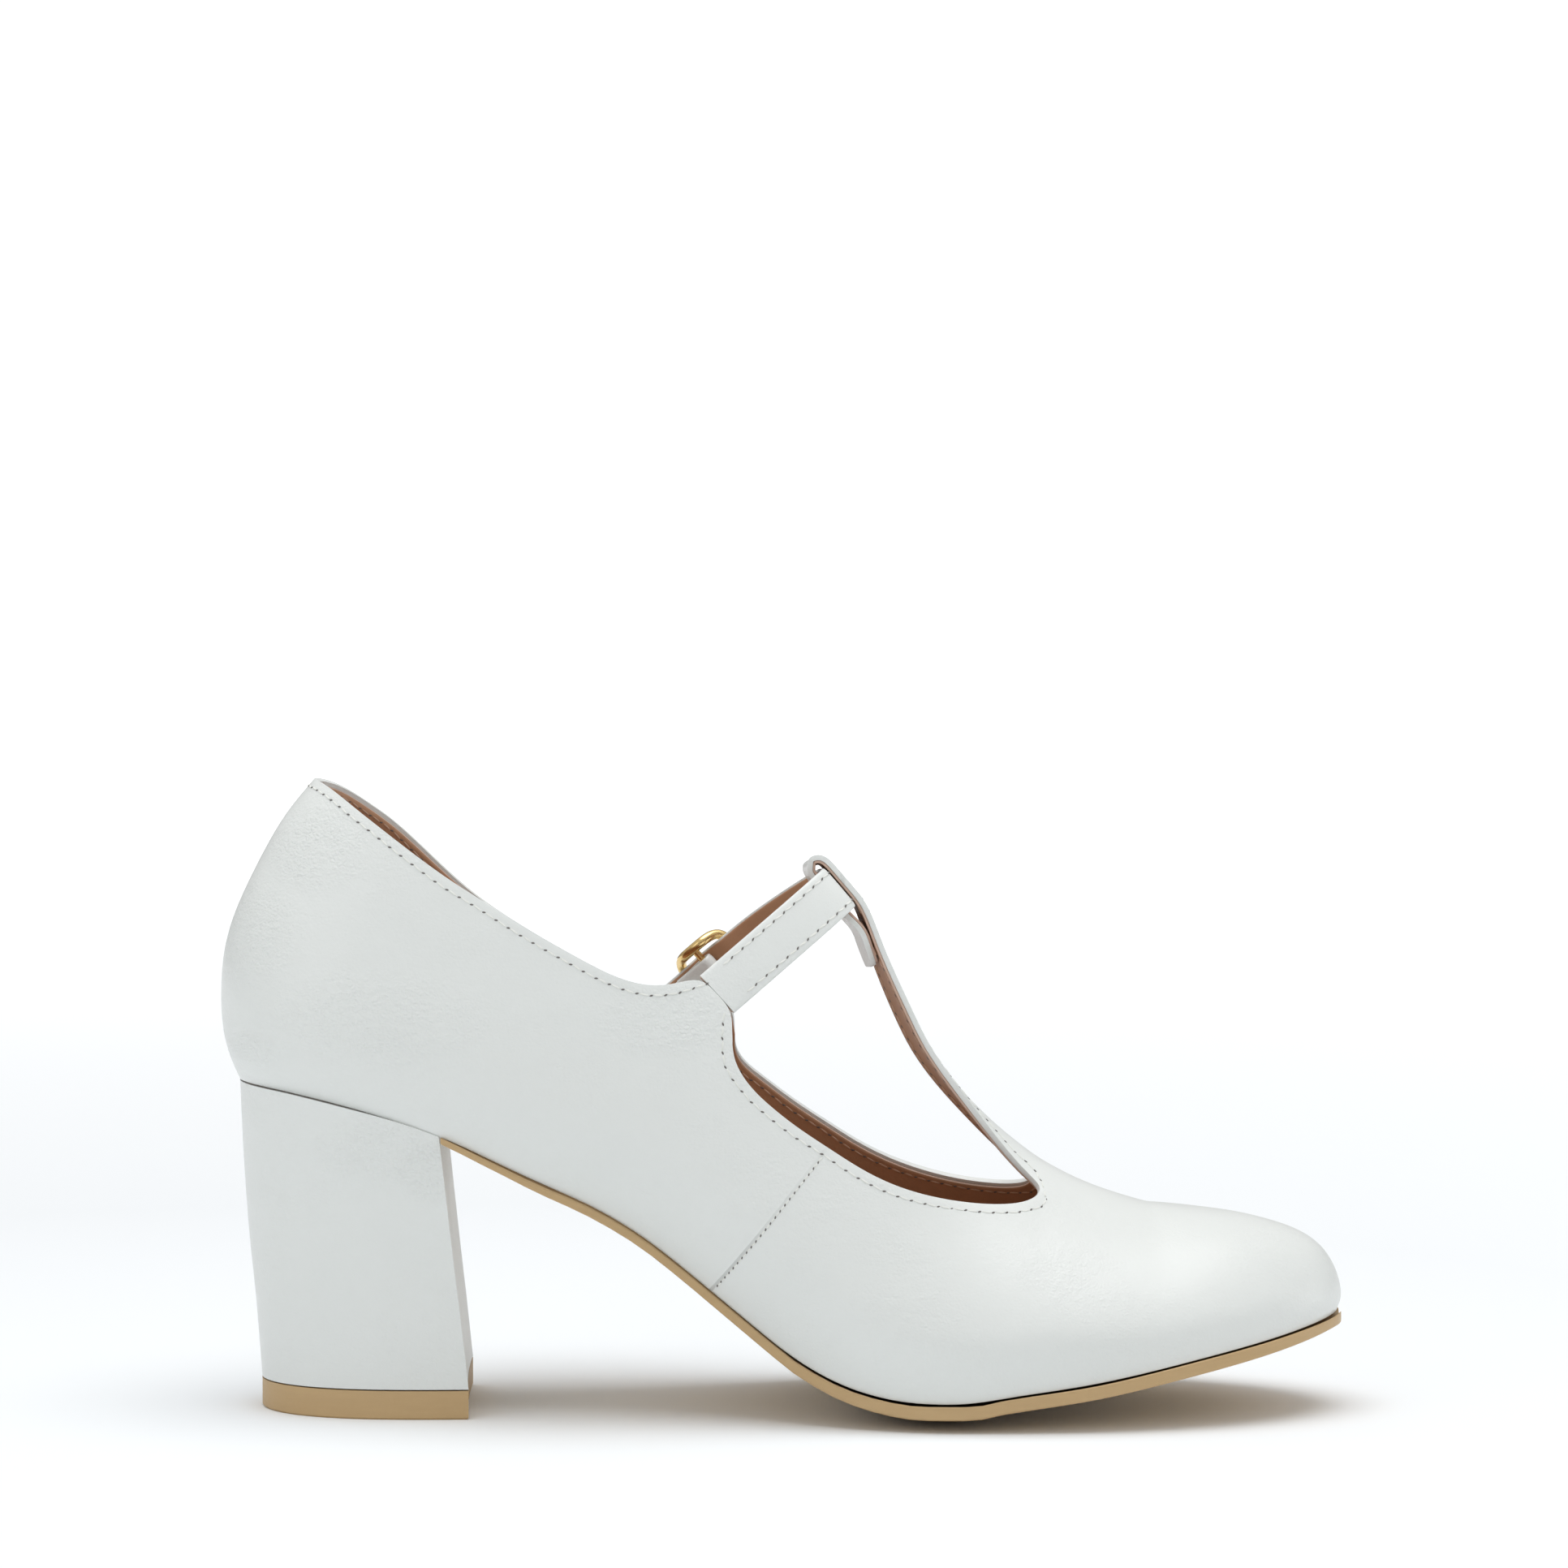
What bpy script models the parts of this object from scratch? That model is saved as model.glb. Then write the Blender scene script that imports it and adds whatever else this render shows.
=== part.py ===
# T-strap shoe with a block heel, left foot, made of leather with a buckled instep strap.
# Frame: +X to the toe, +Y to the outer (lateral) side, +Z up, metres.
# The origin is the middle of the ground face of the heel's top lift.
import math
from collections import namedtuple

import bmesh
import bpy
from mathutils import Vector

for old in list(bpy.data.objects):
    bpy.data.objects.remove(old, do_unlink=True)

MM = 0.001

# Driving sizes
SHOE_LENGTH = 237.8 * MM
HEEL_SETBACK = 31.3 * MM
BALL_WIDTH = 76.8 * MM
HEEL_HEIGHT = 69.7 * MM
TOE_SPRING = 17.2 * MM
SOLE_CROWN = 2.9 * MM
OUTSOLE_THICKNESS = 2.8 * MM
SOLE_LEDGE = 0.8 * MM
INSOLE_THICKNESS = 2.2 * MM
WALL = 1.8 * MM
GAP = 0.3 * MM
BACK_HEIGHT = 65.3 * MM
VAMP_HEIGHT = 44.0 * MM
INSTEP_HEIGHT = 100.0 * MM
LIFT_HEIGHT = 6.0 * MM
LIFT_CHAMFER = 0.4 * MM
LIFT_LENGTH = 45.0 * MM
LIFT_WIDTH = 46.0 * MM
LIFT_SHIFT = 2.0 * MM
HEEL_TURN = math.radians(2.6)
BREAST_HOLLOW = 0.5 * MM
T_STRAP_WIDTH = 11.6 * MM
T_STRAP_RUN = 37.8 * MM
T_STRAP_RISE = 55.0 * MM
T_STRAP_TAIL = 10.5 * MM
T_TILT = math.radians(13.0)
LOOP_LEAN = math.radians(40.5)
STRAP_WIDTH = 10.5 * MM
STRAP_THICKNESS = 1.6 * MM
STRAP_TIP = 22.0 * MM
STRAP_LEAD = 10.0 * MM
STRAP_SINK = 1.2 * MM
SEAM_GAP = 0.5 * MM
FRAME_CLEAR = 2.0 * MM
ANCHOR_DROP = 2.0 * MM
RIDGE_FLAT = 6.4 * MM
RIDGE_BEND = 6.0 * MM
BUCKLE_LENGTH = 15.0 * MM
BUCKLE_WIDTH = 17.2 * MM
BUCKLE_WIRE = 2.2 * MM
BAR_WIRE = 1.6 * MM
PRONG_WIRE = 1.1 * MM
PRONG_BACK = 2.9 * MM
PRONG_HOLE = 1.3 * MM
TAB_WIDTH = 9.0 * MM
TAB_THICKNESS = 1.0 * MM
TAB_LENGTH = 16.0 * MM
TAB_SLOT = 1.4 * MM

MEDIAL = -1
LATERAL = 1

# Sole from heel to toe: heights of its middle line, edge rise and thickness.
# along is a share of SHOE_LENGTH; heel, spring, crown, thick are shares of
# HEEL_HEIGHT, TOE_SPRING, SOLE_CROWN and OUTSOLE_THICKNESS.
SoleRow = namedtuple("SoleRow", "along heel spring crown thick")
SOLE = [
    SoleRow(0.000, 0.985, 0.000, 0.00, 0.43),
    SoleRow(0.057, 0.967, 0.000, 0.00, 0.43),
    SoleRow(0.122, 0.923, 0.000, 0.00, 0.43),
    SoleRow(0.192, 0.853, 0.000, 0.00, 0.45),
    SoleRow(0.245, 0.763, 0.000, 0.00, 0.55),
    SoleRow(0.286, 0.689, 0.000, 0.00, 0.65),
    SoleRow(0.329, 0.619, 0.000, 0.00, 0.75),
    SoleRow(0.371, 0.534, 0.000, 0.00, 0.80),
    SoleRow(0.413, 0.425, 0.000, 0.00, 0.85),
    SoleRow(0.456, 0.301, 0.000, 0.10, 0.90),
    SoleRow(0.498, 0.181, 0.000, 0.24, 0.95),
    SoleRow(0.519, 0.125, 0.000, 0.38, 0.97),
    SoleRow(0.561, 0.047, 0.000, 0.69, 1.00),
    SoleRow(0.602, 0.008, 0.000, 0.90, 1.00),
    SoleRow(0.620, 0.000, 0.000, 0.97, 1.00),
    SoleRow(0.665, 0.000, 0.000, 1.00, 1.00),
    SoleRow(0.685, 0.000, 0.058, 1.00, 1.00),
    SoleRow(0.770, 0.000, 0.267, 0.83, 1.00),
    SoleRow(0.855, 0.000, 0.541, 0.62, 1.00),
    SoleRow(0.944, 0.000, 0.831, 0.41, 0.90),
    SoleRow(1.000, 0.000, 1.020, 0.34, 0.72),
]

# Half widths of the feather line, shares of BALL_WIDTH, from the breast to the ball.
WidthRow = namedtuple("WidthRow", "along medial lateral")
FEATHER = [
    WidthRow(0.207, 0.339, 0.365),
    WidthRow(0.287, 0.306, 0.365),
    WidthRow(0.371, 0.286, 0.371),
    WidthRow(0.455, 0.319, 0.397),
    WidthRow(0.518, 0.378, 0.430),
    WidthRow(0.582, 0.449, 0.469),
    WidthRow(0.645, 0.488, 0.501),
    WidthRow(0.695, 0.492, 0.508),
]

# Sections of the upper over the last. Half widths at the fullest height are shares
# of BALL_WIDTH; full and crest are heights above the feather line as shares of
# INSTEP_HEIGHT; round is the exponent of the curve to the crest.
LastRow = namedtuple("LastRow", "along medial lateral full crest round")
LAST = [
    LastRow(0.207, 0.374, 0.391, 0.157, 0.955, 2.00),
    LastRow(0.287, 0.374, 0.398, 0.170, 1.020, 2.00),
    LastRow(0.371, 0.388, 0.411, 0.210, 1.100, 1.95),
    LastRow(0.413, 0.398, 0.422, 0.220, 1.110, 1.85),
    LastRow(0.455, 0.411, 0.436, 0.220, 1.090, 1.65),
    LastRow(0.518, 0.448, 0.468, 0.200, 1.030, 1.40),
    LastRow(0.582, 0.494, 0.507, 0.145, 0.900, 1.35),
    LastRow(0.645, 0.520, 0.534, 0.125, 0.640, 1.40),
    LastRow(0.695, 0.520, 0.538, 0.115, 0.515, 1.50),
    LastRow(0.729, 0.510, 0.528, 0.105, 0.440, 1.60),
    LastRow(0.770, 0.492, 0.506, 0.090, 0.373, 1.70),
    LastRow(0.826, 0.447, 0.460, 0.070, 0.304, 1.85),
]
CREST_POWER = 1.25

# Back seam: lean forward from the rearmost point against the height above the seat,
# both shares of BACK_HEIGHT.
BackRow = namedtuple("BackRow", "rise lean")
BACK = [
    BackRow(0.000, 0.061),
    BackRow(0.049, 0.037),
    BackRow(0.100, 0.015),
    BackRow(0.200, 0.002),
    BackRow(0.279, 0.000),
    BackRow(0.361, 0.003),
    BackRow(0.467, 0.021),
    BackRow(0.576, 0.061),
    BackRow(0.686, 0.113),
    BackRow(0.796, 0.168),
    BackRow(0.911, 0.234),
    BackRow(0.969, 0.279),
    BackRow(1.020, 0.325),
]

# Top line behind the side columns: rise is a share of BACK_HEIGHT above the seat,
# drop is how much lower the lateral side is.
HeelTopRow = namedtuple("HeelTopRow", "along rise drop")
HEEL_TOP = [
    HeelTopRow(0.000, 1.000, 0.000),
    HeelTopRow(0.085, 1.000, 0.000),
    HeelTopRow(0.143, 0.917, 0.000),
    HeelTopRow(0.173, 0.867, 0.020),
    HeelTopRow(0.207, 0.822, 0.053),
]

# Side columns of the quarters: foot is where a column starts on the feather line,
# along and rise are its end on the collar, the strap seam and the throat's back.
SideRow = namedtuple("SideRow", "foot along rise drop")
COLLAR = [
    SideRow(0.207, 0.207, 0.822, 0.053),
    SideRow(0.238, 0.238, 0.809, 0.072),
    SideRow(0.275, 0.280, 0.790, 0.073),
    SideRow(0.313, 0.323, 0.772, 0.073),
    SideRow(0.334, 0.344, 0.772, 0.073),
    SideRow(0.355, 0.365, 0.786, 0.073),
    SideRow(0.376, 0.386, 0.821, 0.073),
    SideRow(0.393, 0.407, 0.885, 0.070),
    SideRow(0.407, 0.430, 0.976, 0.065),
    SideRow(0.419, 0.444, 0.960, 0.060),
    SideRow(0.431, 0.458, 0.948, 0.056),
    SideRow(0.452, 0.4565, 0.860, 0.053),
]
# The same for the throat, with rise and drop as shares of VAMP_HEIGHT.
THROAT = [
    SideRow(0.468, 0.4585, 1.175, 0.060),
    SideRow(0.487, 0.470, 1.125, 0.030),
    SideRow(0.502, 0.484, 1.105, 0.005),
    SideRow(0.527, 0.512, 1.095, 0.000),
    SideRow(0.552, 0.540, 1.080, 0.000),
    SideRow(0.577, 0.568, 1.034, 0.000),
    SideRow(0.603, 0.596, 0.991, 0.000),
    SideRow(0.630, 0.624, 0.952, 0.000),
    SideRow(0.657, 0.653, 0.914, 0.000),
    SideRow(0.683, 0.682, 0.875, 0.000),
    SideRow(0.706, 0.708, 0.848, 0.000),
    SideRow(0.720, 0.724, 0.856, 0.000),
    SideRow(0.730, 0.730, 0.895, 0.000),
]

# Profile of the toe on the middle line, from the feather line back to the crest:
# reach is a share of the toe's length, rise a share of its height.
ToeRow = namedtuple("ToeRow", "rise reach")
TOE = [
    ToeRow(0.000, 1.000),
    ToeRow(0.130, 1.025),
    ToeRow(0.280, 1.012),
    ToeRow(0.510, 0.955),
    ToeRow(0.720, 0.830),
    ToeRow(0.815, 0.700),
    ToeRow(0.877, 0.575),
    ToeRow(0.940, 0.320),
    ToeRow(1.000, 0.000),
]
TOE_START = 0.826
BALL_ALONG = 0.695
TIP_ALONG = 0.996
CORNER_SHARE = 0.895

# Outer line of the T-strap from its root on the vamp to the loop, shares of
# T_STRAP_RUN back and T_STRAP_RISE up, with half width and fall of its edges as
# shares of T_STRAP_WIDTH, and twist as a share of T_TILT.
StrapRow = namedtuple("StrapRow", "run rise half fall twist")
T_LINE = [
    StrapRow(0.000, 0.000, 1.10, 0.40, 0.0),
    StrapRow(0.070, 0.036, 0.86, 0.26, 0.1),
    StrapRow(0.188, 0.098, 0.68, 0.14, 0.3),
    StrapRow(0.341, 0.191, 0.56, 0.08, 0.6),
    StrapRow(0.513, 0.316, 0.51, 0.06, 0.9),
    StrapRow(0.645, 0.440, 0.50, 0.05, 1.0),
    StrapRow(0.733, 0.565, 0.50, 0.04, 1.0),
    StrapRow(0.817, 0.689, 0.50, 0.03, 0.9),
    StrapRow(0.894, 0.815, 0.50, 0.02, 0.7),
    StrapRow(0.952, 0.935, 0.50, 0.01, 0.5),
    StrapRow(1.000, 1.000, 0.50, 0.00, 0.4),
]

HEEL_COLUMNS = 8
VAMP_RIBS = 3
TOE_RIBS = 9
LOW_ROWS = 10
TOP_ROWS = 4
ROW_CROWDING = 1.3
SOLE_STATIONS = 34
SOLE_ACROSS = 8
HEEL_LEVELS = 6
HEEL_SIDE_STEPS = 10
HEEL_ACROSS = 6


# Reading the tables
def slopes(xs, ys):
    """Monotone cubic slopes, flat at every turn of the curve."""
    steps = [(ys[i + 1] - ys[i]) / (xs[i + 1] - xs[i]) for i in range(len(xs) - 1)]
    result = [steps[0]]
    for before, after in zip(steps, steps[1:]):
        product = before * after
        result.append(2 * product / (before + after) if product > 0 else 0.0)
    return result + [steps[-1]]


def follow(table, column, at, key="along"):
    """Smooth value of one column of a table at a place on its key column."""
    xs = [getattr(row, key) for row in table]
    ys = [getattr(row, column) for row in table]
    at = min(max(at, xs[0]), xs[-1])
    index = 0
    while index < len(xs) - 2 and at > xs[index + 1]:
        index += 1
    tangents = slopes(xs, ys)
    width = xs[index + 1] - xs[index]
    t = (at - xs[index]) / width
    value = (1 + 2 * t) * (1 - t) ** 2 * ys[index] + t * t * (3 - 2 * t) * ys[index + 1]
    value += width * (t * (1 - t) ** 2 * tangents[index] + t * t * (t - 1) * tangents[index + 1])
    return value


def mix(a, b, share):
    return a * (1 - share) + b * share


def ease(share):
    share = min(max(share, 0.0), 1.0)
    return share * share * (3 - 2 * share)


def x_at(along):
    return along * SHOE_LENGTH - HEEL_SETBACK


def along_at(x):
    return (x + HEEL_SETBACK) / SHOE_LENGTH


def side_name(side):
    return "medial" if side == MEDIAL else "lateral"


# The sole's outline and heights
X_SEAT = x_at(FEATHER[0].along)
X_BALL = x_at(BALL_ALONG)
X_TIP = x_at(TIP_ALONG)
X_SEAT_BACK = -HEEL_SETBACK + BACK[0].lean * BACK_HEIGHT
SEAT_POWER = 3.0
TOE_POWER = 0.56
TOE_TAPER = 2.3
CROWN_FLAT = 0.3


def feather(side, x, ledge=0.0):
    """Half width of the feather line at x, grown by a ledge."""
    name = side_name(side)
    if x < X_SEAT:
        depth = X_SEAT - X_SEAT_BACK + ledge
        share = min((X_SEAT - x) / depth, 1.0)
        return (FEATHER[0]._asdict()[name] * BALL_WIDTH + ledge) * math.sqrt(1 - share ** SEAT_POWER)
    if x > X_BALL:
        share = min((x - X_BALL) / (X_TIP - X_BALL + ledge), 1.0)
        full = FEATHER[-1]._asdict()[name] * BALL_WIDTH + ledge
        return full * (1 - share ** TOE_TAPER) ** TOE_POWER
    return follow(FEATHER, name, along_at(x)) * BALL_WIDTH + ledge


def sole_bottom(x, share):
    """Height of the outsole's underside, share running from 0 in the middle to 1 at the edge."""
    along = along_at(x)
    middle = follow(SOLE, "heel", along) * HEEL_HEIGHT + follow(SOLE, "spring", along) * TOE_SPRING
    bend = max(0.0, (share - CROWN_FLAT) / (1 - CROWN_FLAT)) ** 2
    return middle + bend * follow(SOLE, "crown", along) * SOLE_CROWN


def bed(x, share=1.0):
    """Height of the face that insole and upper stand on."""
    return sole_bottom(x, share) + follow(SOLE, "thick", along_at(x)) * OUTSOLE_THICKNESS


# The upper over the last
def section(side, x):
    along = along_at(x)
    edge = feather(side, x)
    full = follow(LAST, side_name(side), along) * BALL_WIDTH
    low = follow(LAST, "full", along) * INSTEP_HEIGHT
    crest = follow(LAST, "crest", along) * INSTEP_HEIGHT
    return edge, full, low, crest, follow(LAST, "round", along)


def width_at(side, x, rise):
    """Half width of the upper at x and a height above the feather line."""
    edge, full, low, crest, power = section(side, x)
    if rise < low:
        return mix(edge, full, math.sin(math.pi / 2 * max(rise, 0.0) / low) ** 0.7)
    share = min((rise - low) / (crest - low), 1.0)
    return full * (1 - share ** CREST_POWER) ** (1 / power)


def rise_at(side, x, width):
    """Height above the feather line where the upper has the given half width."""
    edge, full, low, crest, power = section(side, x)
    share = (1 - min(width / full, 1.0) ** power) ** (1 / CREST_POWER)
    return low + (crest - low) * share


def heel_point(side, turn, rise):
    """Point of the counter, turn running from 0 at the back seam to 1 at the seat's front."""
    share = rise / BACK_HEIGHT
    back = -HEEL_SETBACK + follow(BACK, "lean", share, key="rise") * BACK_HEIGHT
    power = mix(SEAT_POWER, 2.1, min(share, 1.0))
    angle = turn * math.pi / 2
    x = X_SEAT - (X_SEAT - back) * max(math.cos(angle), 0.0) ** (2 / power)
    y = side * width_at(side, X_SEAT, rise) * math.sin(angle)
    return Vector((x, y, bed(x) + GAP + rise))


def heel_column(side, turn):
    """Counter points from the seat up to the top line."""
    low = 0.0
    high = BACK_HEIGHT * 1.02
    for _ in range(30):
        middle = (low + high) / 2
        along = along_at(heel_point(side, turn, middle).x)
        top = follow(HEEL_TOP, "rise", along)
        if side == LATERAL:
            top -= follow(HEEL_TOP, "drop", along)
        if middle < top * BACK_HEIGHT:
            low = middle
        else:
            high = middle
    return [heel_point(side, turn, low * row_share(i)) for i in range(LOW_ROWS + 1)]


def row_share(i):
    return (i / LOW_ROWS) ** ROW_CROWDING


def side_column(side, row, height):
    """Straight column in side view, laid onto the last between feather and top line."""
    rise = (row.rise - (row.drop if side == LATERAL else 0.0)) * height
    foot = x_at(row.foot)
    head = x_at(row.along)
    head_z = bed(head) + rise
    points = []
    for i in range(LOW_ROWS + 1):
        share = row_share(i)
        x = mix(foot, head, share)
        z = mix(bed(foot), head_z, share)
        points.append(Vector((x, side * width_at(side, x, z - bed(x)), z + GAP)))
    return points


def toe_reach(side, rise):
    """Half width of the last full section as a share of its feather line."""
    edge, full, low, crest, power = section(side, x_at(TOE_START))
    return width_at(side, x_at(TOE_START), rise * crest) / edge


def toe_rise(side, reach):
    edge, full, low, crest, power = section(side, x_at(TOE_START))
    return rise_at(side, x_at(TOE_START), reach * edge) / crest


def toe_table_rise(reach):
    rows = [ToeRow(row.rise, -row.reach) for row in TOE[1:]]
    return follow(rows, "rise", -reach, key="reach")


def vamp_rib(side, x):
    """Rib in a cross section, from the feather line over to the crest."""
    edge, full, low, crest, power = section(side, x)
    base = bed(x) + GAP
    points = []
    for i in range(LOW_ROWS + 1):
        rise = row_share(i) * CORNER_SHARE * crest
        points.append(Vector((x, side * width_at(side, x, rise), base + rise)))
    start = width_at(side, x, CORNER_SHARE * crest)
    for i in range(1, TOP_ROWS + 1):
        width = start * (1 - i / TOP_ROWS)
        points.append(Vector((x, side * width, base + rise_at(side, x, width))))
    return points


def toe_rib(side, turn):
    """Rib that fans out from the end of the crest, turn 0 across and 1 to the tip."""
    pole_x = x_at(TOE_START)
    pole_z = bed(pole_x) + section(side, pole_x)[3]
    start = (pole_x - X_BALL) / (X_TIP - X_BALL)
    x = mix(X_BALL, X_TIP, mix(start, 1.0, math.sin(turn * math.pi / 2)))
    foot = Vector((x, side * feather(side, x), bed(x)))
    blend = ease(turn)
    split = mix(toe_reach(side, CORNER_SHARE), follow(TOE, "reach", CORNER_SHARE, key="rise"), blend)
    places = []
    for i in range(LOW_ROWS + 1):
        rise = row_share(i) * CORNER_SHARE
        reach = mix(toe_reach(side, rise), follow(TOE, "reach", rise, key="rise"), blend)
        places.append((reach, rise))

    def raw(reach):
        return mix(toe_rise(side, reach), toe_table_rise(reach), blend)

    for i in range(1, TOP_ROWS + 1):
        reach = split * (1 - i / TOP_ROWS)
        part = (raw(reach) - raw(split)) / (1 - raw(split))
        places.append((reach, mix(CORNER_SHARE, 1.0, part)))
    points = []
    for reach, rise in places:
        flat = Vector((pole_x, 0, 0)).lerp(Vector((foot.x, foot.y, 0)), reach)
        points.append(Vector((flat.x, flat.y, mix(foot.z, pole_z, rise) + GAP)))
    return points


# The T-strap's path: up from the vamp, round the instep strap and down inside
LOOP_UP = Vector((-math.sin(LOOP_LEAN), 0, math.cos(LOOP_LEAN)))
LOOP_OUT = Vector((math.cos(LOOP_LEAN), 0, math.sin(LOOP_LEAN)))
LOOP_REACH = WALL + GAP + STRAP_THICKNESS / 2
X_CORNER = x_at(THROAT[-1].along)
ROOT = Vector((X_CORNER, 0, bed(X_CORNER) + GAP + section(MEDIAL, X_CORNER)[3]))
LOOP_FOOT = ROOT + Vector((-T_STRAP_RUN, 0, T_STRAP_RISE))
LOOP_MIDDLE = LOOP_FOOT - LOOP_OUT * LOOP_REACH + LOOP_UP * STRAP_WIDTH / 2


def t_stations():
    """Centre, outward normal, half width, fall and twist of each station of the T-strap."""
    line = [ROOT + Vector((-row.run * T_STRAP_RUN, 0, row.rise * T_STRAP_RISE)) for row in T_LINE]
    stations = []
    for i, row in enumerate(T_LINE):
        ahead = line[min(i + 1, len(line) - 1)] - line[max(i - 1, 0)]
        if i == len(line) - 1:
            ahead = LOOP_UP + (line[-1] - line[-2]).normalized()
        ahead.normalize()
        out = Vector((ahead.z, 0, -ahead.x))
        sizes = [share * T_STRAP_WIDTH for share in (row.half, row.fall)]
        stations.append((line[i], out, *sizes, row.twist * T_TILT))
    half = T_LINE[-1].half * T_STRAP_WIDTH
    twist = T_LINE[-1].twist * T_TILT
    for share in (0.35, 0.7):
        place = LOOP_FOOT + LOOP_UP * STRAP_WIDTH * share
        stations.append((place, LOOP_OUT, half, 0.0, twist))
    over = LOOP_MIDDLE + LOOP_UP * (STRAP_WIDTH / 2 + GAP)
    for step in range(7):
        angle = math.pi * step / 6
        out = LOOP_OUT * math.cos(angle) + LOOP_UP * math.sin(angle)
        stations.append((over + out * LOOP_REACH, out, half, 0.0, twist))
    for share in (0.5, -0.02):
        place = LOOP_MIDDLE - LOOP_OUT * LOOP_REACH + LOOP_UP * STRAP_WIDTH * (share - 0.5)
        stations.append((place, -LOOP_OUT, half, 0.0, twist))
    lining = 2 * WALL + GAP
    for share, narrow in ((0.90, 1.0), (0.85, 0.97), (0.955 - T_STRAP_TAIL / T_STRAP_RISE, 0.65)):
        run = follow(T_LINE, "run", share, key="rise")
        above, below = (follow(T_LINE, "run", share + step, key="rise") for step in (0.02, -0.02))
        ahead = above - below
        way = Vector((-ahead * T_STRAP_RUN, 0, 0.04 * T_STRAP_RISE)).normalized()
        out = Vector((way.z, 0, -way.x))
        place = ROOT + Vector((-run * T_STRAP_RUN, 0, share * T_STRAP_RISE)) - out * lining
        lean = follow(T_LINE, "twist", share, key="rise") * T_TILT
        stations.append((place, -out, half * narrow, 0.0, lean))
    return stations


def across_of(out, twist, inside):
    """Direction across the strap, medial edge high when the strap is twisted."""
    face = -out if inside else out
    return Vector((0, math.cos(twist), 0)) - face * math.sin(twist)


# Mesh building
class Skin:
    """Faces from rows of points; shared points are merged at the end."""

    def __init__(self):
        self.points = []
        self.faces = []

    def rows(self, rows):
        for first, second in zip(rows, rows[1:]):
            for i in range(len(first) - 1):
                self.face([first[i], first[i + 1], second[i + 1], second[i]])

    def face(self, corners):
        start = len(self.points)
        self.points.extend(corners)
        self.faces.append(list(range(start, start + len(corners))))

    def build(self, name, finish, out_from=None):
        mesh = bpy.data.meshes.new(name)
        mesh.from_pydata([tuple(p) for p in self.points], [], self.faces)
        shape = bmesh.new()
        shape.from_mesh(mesh)
        bmesh.ops.remove_doubles(shape, verts=shape.verts, dist=0.01 * MM)
        bmesh.ops.dissolve_degenerate(shape, edges=shape.edges, dist=0.01 * MM)
        bmesh.ops.recalc_face_normals(shape, faces=shape.faces)
        if out_from is not None:
            turn = sum((f.calc_center_median() - out_from).dot(f.normal) * f.calc_area() for f in shape.faces)
            if turn < 0:
                bmesh.ops.reverse_faces(shape, faces=shape.faces)
        shape.to_mesh(mesh)
        shape.free()
        mesh.shade_smooth()
        mesh.set_sharp_from_angle(angle=math.radians(35))
        thing = bpy.data.objects.new(name, mesh)
        bpy.context.collection.objects.link(thing)
        mesh.materials.append(finish)
        return thing


def material(name, colour, roughness, metallic=0.0):
    finish = bpy.data.materials.new(name)
    finish.use_nodes = True
    shader = finish.node_tree.nodes["Principled BSDF"]
    shader.inputs["Base Color"].default_value = (*colour, 1.0)
    shader.inputs["Roughness"].default_value = roughness
    shader.inputs["Metallic"].default_value = metallic
    return finish


def plate(name, finish, tops, bottoms):
    """Closed plate between two grids of points with the same layout."""
    skin = Skin()
    skin.rows(tops)
    skin.rows(bottoms)
    edge_pairs = [(tops[0], bottoms[0]), (tops[-1], bottoms[-1])]
    edge_pairs.append(([row[0] for row in tops], [row[0] for row in bottoms]))
    edge_pairs.append(([row[-1] for row in tops], [row[-1] for row in bottoms]))
    for high, low in edge_pairs:
        skin.rows([high, low])
    return skin.build(name, finish)


def ribbon(name, finish, stations):
    """Closed strip; a station is centre, outward normal, across direction, half width, half thickness."""
    skin = Skin()
    rings = []
    for centre, out, across, half, depth in stations:
        side = across * half
        skew = out * depth
        ring = [centre - side + skew, centre + side + skew, centre + side - skew, centre - side - skew]
        rings.append(ring + ring[:1])
    skin.rows(rings)
    skin.face(rings[0][:4])
    skin.face(rings[-1][:4])
    return skin.build(name, finish)


def wire(name, finish, path, radius, sides=8, closed=False):
    """Round wire along a path of points, with flat ends unless it is closed."""
    rings = []
    count = len(path)
    up = None
    for i, place in enumerate(path):
        before = path[i - 1] if closed or i > 0 else place
        after = path[(i + 1) % count] if closed or i < count - 1 else place
        ahead = (after - before).normalized()
        if up is None:
            up = ahead.orthogonal()
        up = (up - ahead * up.dot(ahead)).normalized()
        beside = ahead.cross(up)
        ring = [place + (up * math.cos(a) + beside * math.sin(a)) * radius
                for a in (2 * math.pi * k / sides for k in range(sides + 1))]
        rings.append(ring)
    skin = Skin()
    if closed:
        last = rings[-1][:-1]
        nearest = min(range(sides), key=lambda k: (last[k] - rings[0][0]).length)
        turned = [last[(nearest + k) % sides] for k in range(sides)]
        rings[-1] = turned + turned[:1]
        skin.rows(rings[:-1])
        skin.rows([rings[-1], rings[0]])
        before = rings[-2][:-1]
        nearest = min(range(sides), key=lambda k: (before[k] - rings[-1][0]).length)
        turned = [before[(nearest + k) % sides] for k in range(sides)]
        skin.rows([turned + turned[:1], rings[-1]])
    else:
        skin.rows(rings)
        skin.face(rings[0][:-1])
        skin.face(rings[-1][:-1])
    return skin.build(name, finish)


def cut(target, cutter):
    boolean = target.modifiers.new("cut", "BOOLEAN")
    boolean.operation = "DIFFERENCE"
    boolean.object = cutter
    cutter.hide_render = True
    cutter.display_type = "WIRE"


def join(target, other):
    boolean = target.modifiers.new("join", "BOOLEAN")
    boolean.operation = "UNION"
    boolean.object = other
    other.hide_render = True
    other.display_type = "WIRE"


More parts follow.
